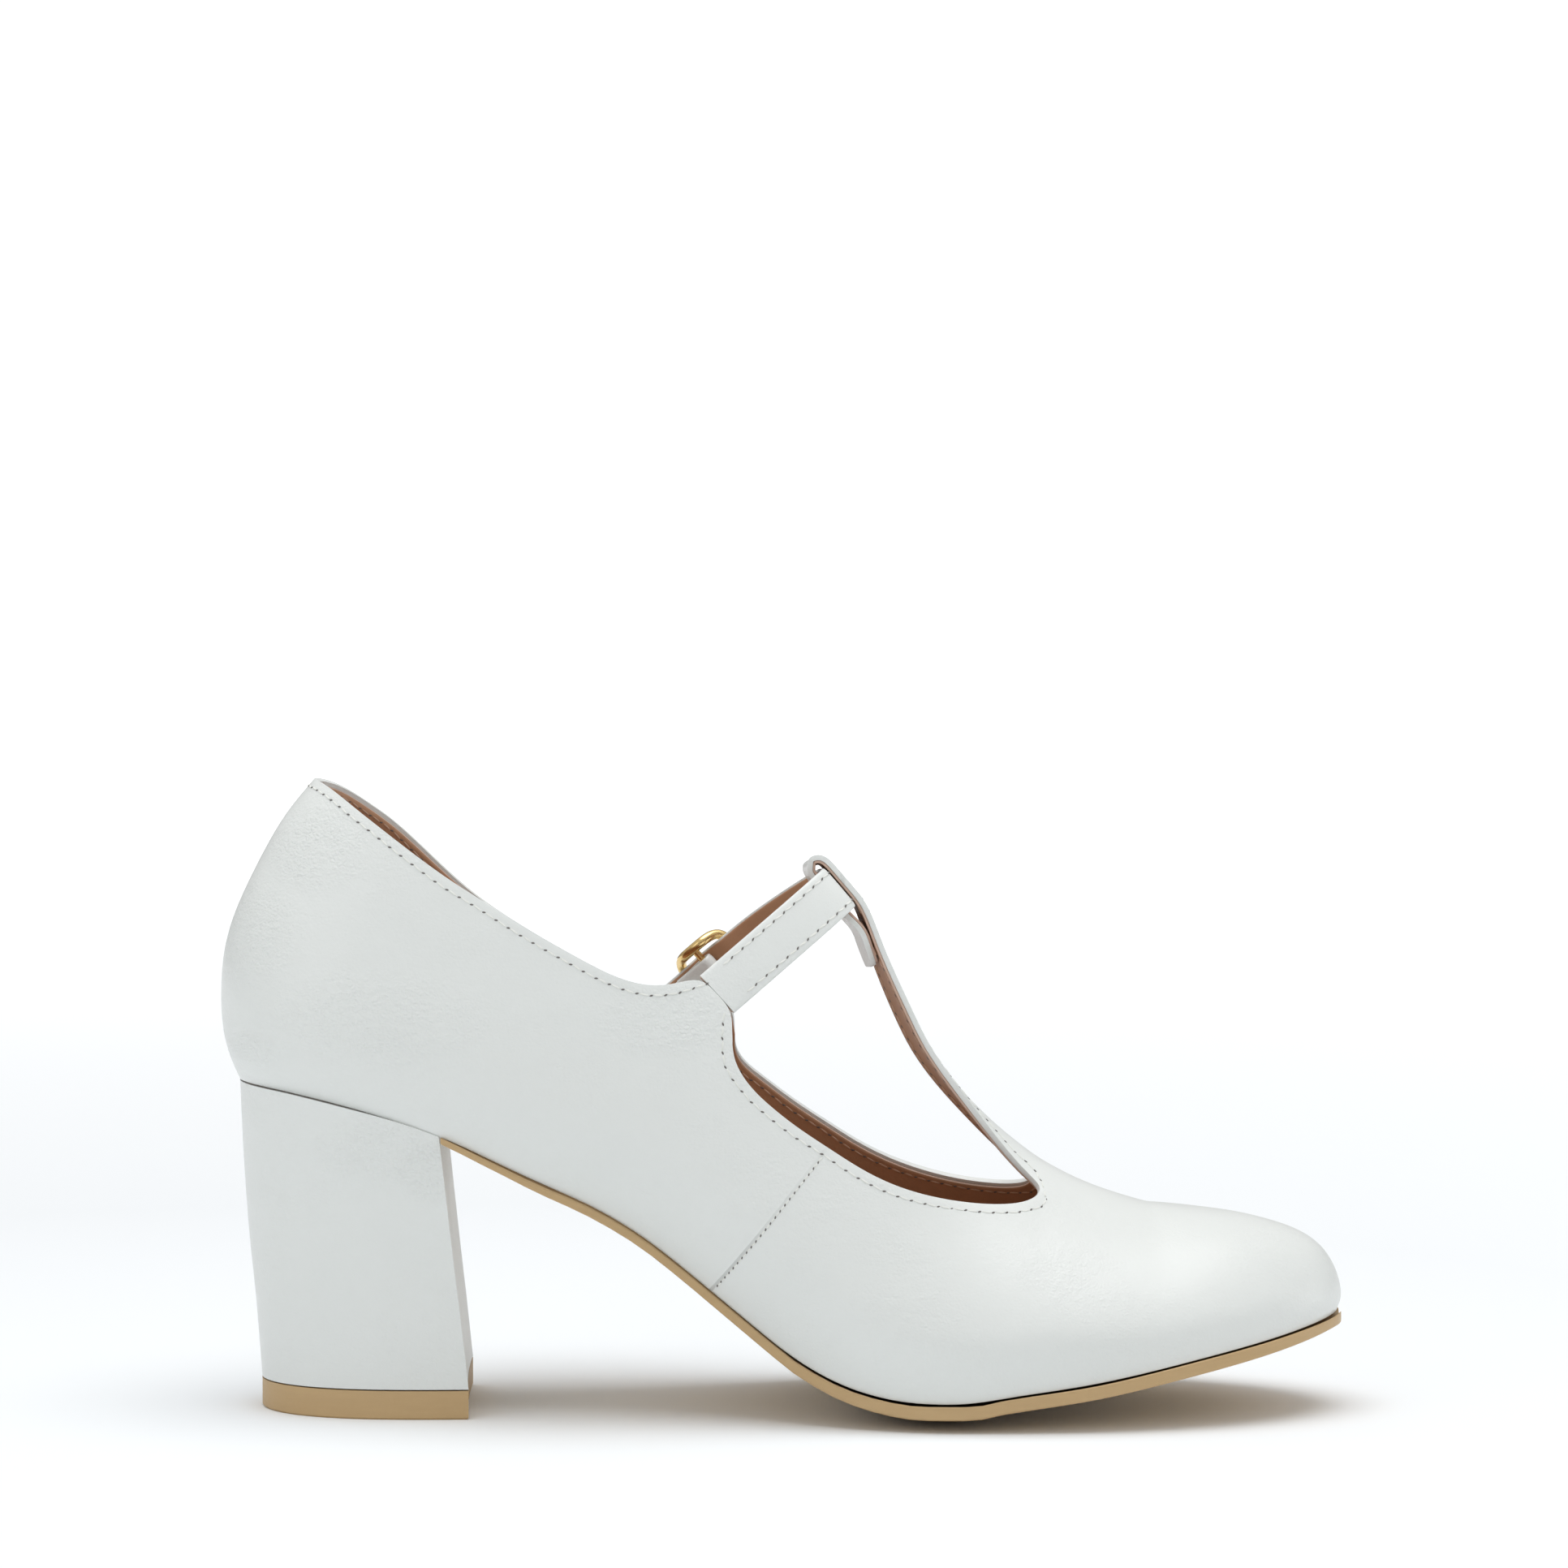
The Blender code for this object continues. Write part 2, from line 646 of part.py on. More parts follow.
# Materials
LEATHER = material("white_leather", (0.72, 0.74, 0.70), 0.45)
HEEL_COVER = material("heel_cover", (0.72, 0.74, 0.70), 0.45)
STRAP_LEATHER = material("strap_leather", (0.72, 0.74, 0.70), 0.45)
TAB_LEATHER = material("tab_leather", (0.70, 0.72, 0.68), 0.5)
LINING = material("brown_insole", (0.20, 0.10, 0.05), 0.6)
RESIN = material("tan_outsole", (0.42, 0.28, 0.14), 0.5)
LIFT = material("tan_top_lift", (0.40, 0.27, 0.14), 0.55)
GOLD = material("gold_metal", (0.80, 0.60, 0.28), 0.25, 1.0)
PRONG_METAL = material("gold_prong", (0.80, 0.60, 0.28), 0.25, 1.0)


# Upper: quarters, vamp and T-strap are one wall
def build_upper():
    skin = Skin()
    corners = {}
    for side in (MEDIAL, LATERAL):
        columns = [heel_column(side, k / HEEL_COLUMNS) for k in range(HEEL_COLUMNS)]
        columns += [side_column(side, row, BACK_HEIGHT) for row in COLLAR]
        columns += [side_column(side, row, VAMP_HEIGHT) for row in THROAT[:-1]]
        ribs = []
        for k in range(VAMP_RIBS + 1):
            ribs.append(vamp_rib(side, mix(X_CORNER, x_at(TOE_START), k / VAMP_RIBS)))
        ribs += [toe_rib(side, (k + 1) / TOE_RIBS) for k in range(TOE_RIBS)]
        skin.rows(columns + [rib[:LOW_ROWS + 1] for rib in ribs])
        skin.rows([rib[LOW_ROWS:] for rib in ribs])
        corners[side] = ribs[0][LOW_ROWS:]
    root = corners[MEDIAL] + corners[LATERAL][-2::-1]
    strips = [root]
    stations = t_stations()
    for index, (centre, out, half, fall, twist) in enumerate(stations[1:], 1):
        inside = index >= len(T_LINE) + 6
        across = across_of(out, twist, inside)
        row = []
        for j, corner in enumerate(root):
            share = j / TOP_ROWS - 1
            place = centre + across * half * share - out * fall * abs(share) ** 1.6
            held = ease(index / 4)
            moved = corner + (centre - ROOT)
            moved.y = place.y
            row.append(moved.lerp(place, held))
        strips.append(row)
    skin.rows(strips)
    upper = skin.build("upper", LEATHER, out_from=Vector((x_at(0.5), 0, BACK_HEIGHT * 0.3)))
    wall = upper.modifiers.new("wall", "SOLIDIFY")
    wall.thickness = WALL
    wall.offset = -1
    wall.use_rim = True
    return upper


# Outsole, insole and the heel
def sole_grid(height, ledge, back, front, skew):
    """Grid of points over the sole from back to front, inside the feather line by -ledge."""
    rows = []
    for i in range(SOLE_STATIONS + 1):
        share = i / SOLE_STATIONS
        x = mix(back, front, math.sin(share * math.pi / 2) * 0.72 + 0.28 * share)
        row = []
        for j in range(SOLE_ACROSS + 1):
            place = 2 * j / SOLE_ACROSS - 1
            side = MEDIAL if place < 0 else LATERAL
            y = place * feather(side, x, ledge)
            shifted = x - skew * y * (1 - share) ** 6
            row.append(Vector((shifted, y, height(shifted, abs(place)))))
        rows.append(row)
    return rows


TIP_TRIM = 0.25 * MM


def build_outsole():
    breast = HEEL[-1].breast * LIFT_LENGTH / math.cos(HEEL_TURN) + GAP
    sizes = (SOLE_LEDGE, breast, X_TIP + SOLE_LEDGE - TIP_TRIM, math.tan(HEEL_TURN))
    return plate("outsole", RESIN, sole_grid(bed, *sizes), sole_grid(sole_bottom, *sizes))


def build_insole():
    inset = WALL + 2 * GAP
    back = X_SEAT_BACK + inset
    rows = []
    stations = [mix(X_SEAT, back, math.sin(math.pi / 2 * k / 9)) for k in range(9, 0, -1)]
    front = X_TIP - inset - TIP_TRIM
    stations += [mix(X_SEAT, front, math.sin(math.pi / 2 * k / 30) * 0.7 + 0.3 * k / 30) for k in range(31)]
    stations[0] = mix(back, X_SEAT, 0.002)
    tops = []
    for x in stations:
        for grid, lift in ((rows, GAP), (tops, GAP + INSOLE_THICKNESS)):
            row = []
            for j in range(SOLE_ACROSS + 1):
                place = 2 * j / SOLE_ACROSS - 1
                side = MEDIAL if place < 0 else LATERAL
                y = place * feather(side, x, -inset)
                row.append(Vector((x, y, bed(x, abs(place)) + lift)))
            grid.append(row)
    return plate("insole", LINING, tops, rows)


HeelRow = namedtuple("HeelRow", "rise back breast medial lateral")
# Heel block: rise is a share of its height, back and breast are shares of
# LIFT_LENGTH from the axis, medial and lateral shares of LIFT_WIDTH.
HEEL = [
    HeelRow(0.00, -0.504, 0.478, 0.500, 0.500),
    HeelRow(0.25, -0.530, 0.447, 0.512, 0.512),
    HeelRow(0.50, -0.563, 0.413, 0.530, 0.530),
    HeelRow(0.75, -0.586, 0.380, 0.556, 0.556),
    HeelRow(1.00, -0.600, 0.347, 0.583, 0.583),
]


def heel_ring(share, inset=0.0):
    """Pairs of outline points from the back to the breast, then points along the breast."""
    back = follow(HEEL, "back", share, key="rise") * LIFT_LENGTH + inset
    breast = follow(HEEL, "breast", share, key="rise") * LIFT_LENGTH - inset
    pairs = []
    for k in range(HEEL_SIDE_STEPS + 1):
        angle = k / HEEL_SIDE_STEPS * math.pi / 2
        forward = breast - (breast - back) * max(math.cos(angle), 0.0) ** (2 / SEAT_POWER)
        pair = []
        for side in (MEDIAL, LATERAL):
            half = follow(HEEL, side_name(side), share, key="rise") * LIFT_WIDTH - inset
            beside = side * half * math.sin(angle) + LIFT_SHIFT * (1 - share)
            pair.append((forward, beside))
        pairs.append(pair)
    rows = []
    for k, (near, far) in enumerate(pairs):
        row = []
        for j in range(HEEL_ACROSS + 1):
            place = j / HEEL_ACROSS
            forward = mix(near[0], far[0], place)
            if k == HEEL_SIDE_STEPS:
                forward -= BREAST_HOLLOW * 4 * place * (1 - place)
            beside = mix(near[1], far[1], place)
            x = forward * math.cos(HEEL_TURN) - beside * math.sin(HEEL_TURN)
            y = beside * math.cos(HEEL_TURN) + forward * math.sin(HEEL_TURN)
            row.append((x, y))
        rows.append(row)
    return rows


def heel_solid(name, finish, levels, height):
    """Closed block from outline rows at each level; height gives z for a level and place."""
    grids = []
    for level, inset in levels:
        share = max(level, 0.0)
        rows = heel_ring(share, inset)
        grids.append([[Vector((x, y, height(level, x))) for x, y in row] for row in rows])
    skin = Skin()
    skin.rows(grids[0])
    skin.rows(grids[-1])
    for low, high in zip(grids, grids[1:]):
        skin.rows([[row[0] for row in low], [row[0] for row in high]])
        skin.rows([[row[-1] for row in low], [row[-1] for row in high]])
        skin.rows([low[-1], high[-1]])
    return skin.build(name, finish)


def build_heel():
    base = LIFT_HEIGHT + GAP

    def height(level, x):
        return mix(base, bed(x), level)

    levels = [(k / HEEL_LEVELS, 0.0) for k in range(HEEL_LEVELS + 1)]
    return heel_solid("heel", HEEL_COVER, levels, height)


def build_lift():
    heights = {-2.0: 0.0, -1.0: LIFT_CHAMFER, 0.0: LIFT_HEIGHT}

    def height(level, x):
        return heights[level]

    levels = [(-2.0, LIFT_CHAMFER), (-1.0, 0.0), (0.0, 0.0)]
    return heel_solid("top_lift", LIFT, levels, height)


# Instep strap with its buckle on the lateral side
def surface(side, along, z):
    x = x_at(along)
    return Vector((x, side * width_at(side, x, z - GAP - bed(x)), z))


def surface_normal(side, along, z):
    step = 1 * MM
    here = surface(side, along, z)
    ahead = surface(side, along + step / SHOE_LENGTH, z) - here
    above = surface(side, along, z + step) - here
    out = ahead.cross(above)
    return (out if out.y * side > 0 else -out).normalized()


SEAM_TOP = side_column(MEDIAL, COLLAR[8], BACK_HEIGHT)[-1]
SEAM_FOOT = side_column(MEDIAL, COLLAR[10], BACK_HEIGHT)[-1]
SEAM_MIDDLE = side_column(MEDIAL, COLLAR[9], BACK_HEIGHT)[-1]
ANCHOR_ALONG = 0.411
ANCHOR_Z = side_column(LATERAL, COLLAR[9], BACK_HEIGHT)[-1].z - ANCHOR_DROP
ANCHOR = surface(LATERAL, ANCHOR_ALONG, ANCHOR_Z)
OUT = surface_normal(LATERAL, ANCHOR_ALONG, ANCHOR_Z)
HANG = Vector((-0.67, 0.49, -0.553))
DOWN = (HANG - OUT * HANG.dot(OUT)).normalized()
ACROSS = OUT.cross(DOWN).normalized()
TAB_RADIUS = BAR_WIRE / 2 + GAP + TAB_THICKNESS / 2
ANCHOR_REACH = 9.0 * MM
BAR = ANCHOR - DOWN * ANCHOR_REACH + OUT * (TAB_RADIUS + TAB_THICKNESS / 2 + GAP)
STRAP_LOW = 1.5 * MM
STRAP_HIGH = TAB_RADIUS + TAB_THICKNESS / 2 + GAP + STRAP_THICKNESS / 2
FRAME_RISE = STRAP_LOW + STRAP_THICKNESS / 2 + GAP + BUCKLE_WIRE / 2
FRAME_REACH = (BUCKLE_LENGTH - BUCKLE_WIRE) / 2
FRAME_HALF = (BUCKLE_WIDTH - BUCKLE_WIRE) / 2
FRAME_POWER = 0.56


def at_buckle(down, out, across=0.0):
    return BAR + DOWN * down + OUT * out + ACROSS * across


def bezier(points, t):
    while len(points) > 1:
        points = [a.lerp(b, t) for a, b in zip(points, points[1:])]
    return points[0]


def strap_over_bar(down):
    """Height of the strap's middle over the bar's plane, high over the bar and low under the frame."""
    share = min(abs(down) / FRAME_REACH, 1.0)
    return mix(STRAP_LOW, STRAP_HIGH, math.cos(share * math.pi / 2) ** 2)


def build_instep_strap():
    across = across_of(LOOP_OUT, T_LINE[-1].twist * T_TILT, False)
    seam_out = surface_normal(MEDIAL, COLLAR[9].along, SEAM_MIDDLE.z)
    start = SEAM_MIDDLE - seam_out * STRAP_THICKNESS / 2
    seam_across = (SEAM_FOOT - SEAM_TOP).normalized()
    way = seam_out.cross(seam_across)
    way = way if way.x > 0 else -way
    start = start + way * SEAM_GAP
    near = LOOP_MIDDLE - across * RIDGE_FLAT
    far = LOOP_MIDDLE + across * RIDGE_FLAT
    meet = at_buckle(-FRAME_REACH - FRAME_CLEAR, STRAP_LOW)
    path = [bezier([start, near - across * RIDGE_BEND, near], k / 15) for k in range(15)]
    path += [near, far]
    lateral = [far, far + across * RIDGE_BEND, meet - DOWN * STRAP_LEAD, meet]
    path += [bezier(lateral, k / 19) for k in range(1, 19)]
    normals = []
    for k, place in enumerate(path):
        if k < 15:
            normals.append(seam_out.lerp(LOOP_OUT, (ease(k / 15) + k / 15) / 2))
        else:
            normals.append(LOOP_OUT.lerp(OUT, ease((k - 16) / 19)))
    downs = [(FRAME_REACH + FRAME_CLEAR) * (k / 7 - 1) for k in range(15)]
    tip_start = downs[-1]
    downs += [mix(tip_start, STRAP_TIP, share) for share in (0.3, 0.6, 0.8, 0.92, 1.0)]
    for down in downs:
        sink = ease((down - tip_start) / (STRAP_TIP - tip_start)) * STRAP_SINK
        path.append(at_buckle(down, strap_over_bar(down) - sink))
        normals.append(OUT.copy())
    stations = []
    for k, place in enumerate(path):
        ahead = (path[min(k + 1, len(path) - 1)] - path[max(k - 1, 0)]).normalized()
        out = (normals[k] - ahead * normals[k].dot(ahead)).normalized()
        beside = out.cross(ahead)
        half = STRAP_WIDTH / 2
        if k < 3:
            flat = mix(1.0, 0.0, k / 3)
            beside = beside.lerp(seam_across * (1 if beside.dot(seam_across) > 0 else -1), flat).normalized()
        end = (len(path) - 1 - k)
        half *= (0.45, 0.8, 0.94, 1.0)[min(end, 3)]
        stations.append((place, out, beside, half, STRAP_THICKNESS / 2))
    strap = ribbon("instep_strap", STRAP_LEATHER, stations)
    through = [at_buckle(-PRONG_BACK, 0), at_buckle(-PRONG_BACK, 2.5 * STRAP_HIGH)]
    hole = wire("prong_hole", STRAP_LEATHER, through, PRONG_HOLE)
    cut(strap, hole)
    return strap


# Upper layer of the tab behind its fold: down and out are shares of TAB_LENGTH and
# TAB_RADIUS, lean and face its outward normal along DOWN and OUT.
TabRow = namedtuple("TabRow", "down out lean face")
TAB_END = [
    TabRow(0.125, 0.72, -0.40, -0.90),
    TabRow(0.213, 0.22, -0.50, -0.85),
    TabRow(0.313, -0.19, -0.20, -1.00),
    TabRow(0.469, -0.19, 0.00, -1.00),
]


def build_tab():
    """Tab sewn on the quarter, its head folded round the bar and slotted for the prong."""
    places = [(TAB_LENGTH * share, -TAB_RADIUS, 0, 1) for share in (1.0, 0.56, 0.19)]
    for k in range(9):
        angle = math.radians(90 + 180 * k / 8)
        back, up = math.cos(angle), math.sin(angle)
        places.append((back * TAB_RADIUS, -up * TAB_RADIUS, -back, up))
    places += [(TAB_LENGTH * row.down, TAB_RADIUS * row.out, row.lean, row.face) for row in TAB_END]
    stations = []
    for down, out, lean, face in places:
        normal = (OUT * face + DOWN * lean).normalized()
        stations.append((at_buckle(down, out), normal, ACROSS, TAB_WIDTH / 2, TAB_THICKNESS / 2))
    tab = ribbon("buckle_tab", TAB_LEATHER, stations)
    skin = Skin()
    reach = TAB_LENGTH / 4
    signs = (-1, 1)
    grid = [[at_buckle(d * reach, o * reach, a * TAB_SLOT) for d in signs] for o in signs for a in signs]
    low = [grid[0], grid[1]]
    high = [grid[2], grid[3]]
    skin.rows(low)
    skin.rows(high)
    for first, second in ((grid[0], grid[2]), (grid[1], grid[3])):
        skin.rows([first, second])
    for end in (0, 1):
        skin.rows([[grid[0][end], grid[1][end]], [grid[2][end], grid[3][end]]])
    cut(tab, skin.build("prong_slot", TAB_LEATHER))
    return tab


# Prong from its hook to its tip: back and rise are shares of PRONG_BACK and STRAP_HIGH.
ProngRow = namedtuple("ProngRow", "back rise")
PRONG = [ProngRow(0.83, 0.50), ProngRow(1.00, 0.94), ProngRow(1.17, 1.31)]


def build_buckle():
    steps = 32
    path = []
    for k in range(steps):
        angle = 2 * math.pi * k / steps
        down, across = (math.copysign(abs(v) ** FRAME_POWER, v) for v in (math.cos(angle), math.sin(angle)))
        rise = FRAME_RISE * (1 - math.sin(angle) ** 6)
        path.append(at_buckle(FRAME_REACH * down, rise, FRAME_HALF * across))
    frame = wire("buckle_frame", GOLD, path, BUCKLE_WIRE / 2, closed=True)
    ends = [at_buckle(0, 0, -FRAME_HALF), at_buckle(0, 0, FRAME_HALF)]
    join(frame, wire("buckle_bar", GOLD, ends, BAR_WIRE / 2, sides=10))
    hook = BAR_WIRE / 2 + GAP + PRONG_WIRE / 2
    top = STRAP_HIGH + STRAP_THICKNESS / 2 + GAP + PRONG_WIRE / 2
    rest = FRAME_RISE + BUCKLE_WIRE / 2 + GAP + PRONG_WIRE / 2
    path = [at_buckle(hook * math.cos(a), hook * math.sin(a)) for a in
            (math.radians(-20 - 160 * k / 6) for k in range(7))]
    path += [at_buckle(-PRONG_BACK * row.back, STRAP_HIGH * row.rise) for row in PRONG]
    path += [at_buckle(-1.45 * PRONG_BACK, top), at_buckle(-1.86 * PRONG_BACK, mix(top, rest, 0.6))]
    path.append(at_buckle(-FRAME_REACH - 0.78 * BUCKLE_WIRE, rest))
    wire("buckle_prong", PRONG_METAL, path, PRONG_WIRE / 2)
    return frame


build_upper()
build_outsole()
build_insole()
build_heel()
build_lift()
build_instep_strap()
build_tab()
build_buckle()
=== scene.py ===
import math
from collections import namedtuple

import bmesh
import bpy
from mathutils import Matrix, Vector
from mathutils.bvhtree import BVHTree


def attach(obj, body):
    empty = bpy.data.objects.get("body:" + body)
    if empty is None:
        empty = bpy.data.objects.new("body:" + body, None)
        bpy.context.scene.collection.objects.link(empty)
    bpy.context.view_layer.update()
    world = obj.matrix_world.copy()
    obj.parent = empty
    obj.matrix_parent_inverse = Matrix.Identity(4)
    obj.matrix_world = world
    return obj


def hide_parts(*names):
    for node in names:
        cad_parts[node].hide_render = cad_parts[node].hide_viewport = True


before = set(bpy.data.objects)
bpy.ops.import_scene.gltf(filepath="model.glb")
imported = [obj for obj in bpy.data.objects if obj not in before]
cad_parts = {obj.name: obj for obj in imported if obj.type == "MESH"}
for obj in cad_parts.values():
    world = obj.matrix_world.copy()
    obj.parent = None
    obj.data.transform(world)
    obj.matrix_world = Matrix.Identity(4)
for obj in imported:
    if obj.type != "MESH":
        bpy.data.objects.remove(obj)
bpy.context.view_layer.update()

# Studio: the camera stands level with the shoe's inner side, a little above its top,
# and looks slightly down over a white sweep lit by large soft lamps.
CAMERA_PLACE = Vector((0.0881, -1.0, 0.165))
CAMERA_AIM = Vector((0.0881, 0.0, 0.1318))
CAMERA_LENS = 108.6
SENSOR_WIDTH = 36.0
NEAR_CLIP = 0.01
HORIZON_LIGHT = 0.24
SKY_LIGHT = 0.62
SKY_RISE = 0.6
BACKDROP_LIGHT = 1.05
# Round lamps: name, place, aim, size across and power.
LAMPS = [
    ("top_lamp", (0.12, -0.10, 1.3), (0.09, 0, 0.0), 1.2, 10.5),
    ("key_lamp", (-0.75, -0.80, 0.45), (0.05, 0, 0.05), 0.8, 1.2),
    ("front_lamp", (0.95, 0.10, 0.10), (0.02, 0, 0.035), 0.4, 0.8),
]


def linked(name, data):
    """A new object for the data, in the scene."""
    thing = bpy.data.objects.new(name, data)
    bpy.context.collection.objects.link(thing)
    return thing


def look_at(thing, place, aim):
    thing.location = place
    thing.rotation_euler = (Vector(aim) - Vector(place)).to_track_quat("-Z", "Y").to_euler()


camera_data = bpy.data.cameras.new("camera")
camera_data.lens = CAMERA_LENS
camera_data.sensor_width = SENSOR_WIDTH
camera_data.clip_start = NEAR_CLIP
camera = linked("camera", camera_data)
look_at(camera, CAMERA_PLACE, CAMERA_AIM)
bpy.context.scene.camera = camera
bpy.context.scene.view_settings.view_transform = "Standard"
for name, place, aim, size, power in LAMPS:
    data = bpy.data.lights.new(name, "AREA")
    data.shape = "DISK"
    data.size = size
    data.energy = power
    look_at(linked(name, data), place, aim)

# The world: brighter overhead than at the horizon, and plain white to the camera.
world = bpy.data.worlds.new("studio")
world.use_nodes = True
nodes, link = world.node_tree.nodes, world.node_tree.links.new
sky = nodes["Background"]
sky.inputs["Color"].default_value = (1.0, 1.0, 1.0, 1.0)
rays = nodes.new("ShaderNodeLightPath")
seen = nodes.new("ShaderNodeMapRange")
seen.inputs["To Max"].default_value = BACKDROP_LIGHT
way = nodes.new("ShaderNodeTexCoord")
height = nodes.new("ShaderNodeSeparateXYZ")
rise = nodes.new("ShaderNodeMapRange")
rise.inputs["From Max"].default_value = SKY_RISE
rise.inputs["To Min"].default_value = HORIZON_LIGHT
rise.inputs["To Max"].default_value = SKY_LIGHT
link(way.outputs["Generated"], height.inputs[0])
link(height.outputs[2], rise.inputs["Value"])
link(rise.outputs["Result"], seen.inputs["To Min"])
link(rays.outputs["Is Camera Ray"], seen.inputs["Value"])
link(seen.outputs["Result"], sky.inputs["Strength"])
bpy.context.scene.world = world


# Shader helpers: a material's nodes are written as expressions, where + - * / on a
# wrapped socket add Math nodes, and constants are set on the sockets they feed.

# Places of the Mix node's colour sockets among its inputs and outputs.
MIX_FIRST, MIX_SECOND, MIX_RESULT = 6, 7, 2


def by_node(operation, swap=False):
    return lambda self, other: self.op(operation, other, swap)


class Sock:
    def __init__(self, graph, socket):
        self.graph = graph
        self.socket = socket

    def op(self, operation, other=0.5, swap=False, clamp=False):
        pair = (other, self) if swap else (self, other)
        settings = {"operation": operation, "use_clamp": clamp}
        return self.graph.node("ShaderNodeMath", settings, {0: pair[0], 1: pair[1]})

    __add__, __radd__ = by_node("ADD"), by_node("ADD", swap=True)
    __sub__, __rsub__ = by_node("SUBTRACT"), by_node("SUBTRACT", swap=True)
    __mul__, __rmul__ = by_node("MULTIPLY"), by_node("MULTIPLY", swap=True)
    __truediv__ = by_node("DIVIDE")


class Graph:
    """One material's nodes, with its shader ready."""

    def __init__(self, name):
        self.material = bpy.data.materials.new(name)
        self.material.use_nodes = True
        self.tree = self.material.node_tree
        self.shader = self.tree.nodes["Principled BSDF"]

    def node(self, kind, settings=None, inputs=None, output=0):
        made = self.tree.nodes.new(kind)
        for key, value in (settings or {}).items():
            setattr(made, key, value)
        for key, value in (inputs or {}).items():
            self.put(made.inputs[key], value)
        return Sock(self, made.outputs[output])

    def put(self, socket, value):
        if isinstance(value, Sock):
            self.tree.links.new(value.socket, socket)
        else:
            socket.default_value = value

    def place(self):
        return self.node("ShaderNodeTexCoord", output="Object")

    def noise(self, scale, detail=3.0, roughness=0.5, stretch=None):
        where = self.place()
        if stretch:
            where = self.node("ShaderNodeMapping", {}, {"Vector": where, "Scale": stretch})
        return self.node("ShaderNodeTexNoise", {}, {"Vector": where, "Scale": scale, "Detail": detail,
                                                    "Roughness": roughness})

    def cells(self, scale):
        return self.node("ShaderNodeTexVoronoi", {"feature": "DISTANCE_TO_EDGE"},
                         {"Vector": self.place(), "Scale": scale})

    def blend(self, factor, first, second):
        inputs = {0: factor, MIX_FIRST: first, MIX_SECOND: second}
        return self.node("ShaderNodeMix", {"data_type": "RGBA"}, inputs, MIX_RESULT)

    def bump(self, height, strength, depth, below=None):
        inputs = {"Height": height, "Strength": strength, "Distance": depth}
        if below is not None:
            inputs["Normal"] = below
        return self.node("ShaderNodeBump", {}, inputs)

    def finish(self, **values):
        for key, value in values.items():
            self.put(self.shader.inputs[key.replace("_", " ").title()], value)
        return self.material


def rgba(red, green, blue):
    return (red, green, blue, 1.0)


# Upper: vamp, quarters and T-strap of white grained leather pulled over the last,
# one wall with a folded edge, lined in brown, its T-strap looped round the instep strap.
MM = 0.001

# Driving sizes
SHOE_LENGTH = 237.8 * MM
HEEL_SETBACK = 31.3 * MM
BALL_WIDTH = 76.8 * MM
HEEL_HEIGHT = 69.7 * MM
TOE_SPRING = 17.2 * MM
SOLE_CROWN = 2.9 * MM
OUTSOLE_THICKNESS = 2.8 * MM
WALL = 1.8 * MM
GAP = 0.3 * MM
BACK_HEIGHT = 65.3 * MM
VAMP_HEIGHT = 44.0 * MM
INSTEP_HEIGHT = 100.0 * MM
T_STRAP_WIDTH = 11.6 * MM
T_STRAP_RUN = 37.8 * MM
T_STRAP_RISE = 55.0 * MM
T_STRAP_TAIL = 10.5 * MM
T_TILT = math.radians(13.0)
LOOP_LEAN = math.radians(40.5)
STRAP_WIDTH = 10.5 * MM
STRAP_THICKNESS = 1.6 * MM

MEDIAL = -1
LATERAL = 1


def table(columns, rows):
    """Rows of numbers, each read by its column's name."""
    row_kind = namedtuple("Row", columns)
    return [row_kind(*row) for row in rows]


# Sole from heel to toe: heights of its middle line, edge rise and thickness.
# along is a share of SHOE_LENGTH; heel, spring, crown, thick are shares of
# HEEL_HEIGHT, TOE_SPRING, SOLE_CROWN and OUTSOLE_THICKNESS.
SOLE = table("along heel spring crown thick", [
    (0.000, 0.985, 0.000, 0.00, 0.43),
    (0.057, 0.967, 0.000, 0.00, 0.43),
    (0.122, 0.923, 0.000, 0.00, 0.43),
    (0.192, 0.853, 0.000, 0.00, 0.45),
    (0.245, 0.763, 0.000, 0.00, 0.55),
    (0.286, 0.689, 0.000, 0.00, 0.65),
    (0.329, 0.619, 0.000, 0.00, 0.75),
    (0.371, 0.534, 0.000, 0.00, 0.80),
    (0.413, 0.425, 0.000, 0.00, 0.85),
    (0.456, 0.301, 0.000, 0.10, 0.90),
    (0.498, 0.181, 0.000, 0.24, 0.95),
    (0.519, 0.125, 0.000, 0.38, 0.97),
    (0.561, 0.047, 0.000, 0.69, 1.00),
    (0.602, 0.008, 0.000, 0.90, 1.00),
    (0.620, 0.000, 0.000, 0.97, 1.00),
    (0.665, 0.000, 0.000, 1.00, 1.00),
    (0.685, 0.000, 0.058, 1.00, 1.00),
    (0.770, 0.000, 0.267, 0.83, 1.00),
    (0.855, 0.000, 0.541, 0.62, 1.00),
    (0.944, 0.000, 0.831, 0.41, 0.90),
    (1.000, 0.000, 1.020, 0.34, 0.72),
])

# Half widths of the feather line, shares of BALL_WIDTH, from the breast to the ball.
FEATHER = table("along medial lateral", [
    (0.207, 0.339, 0.365),
    (0.287, 0.306, 0.365),
    (0.371, 0.286, 0.371),
    (0.455, 0.319, 0.397),
    (0.518, 0.378, 0.430),
    (0.582, 0.449, 0.469),
    (0.645, 0.488, 0.501),
    (0.695, 0.492, 0.508),
])

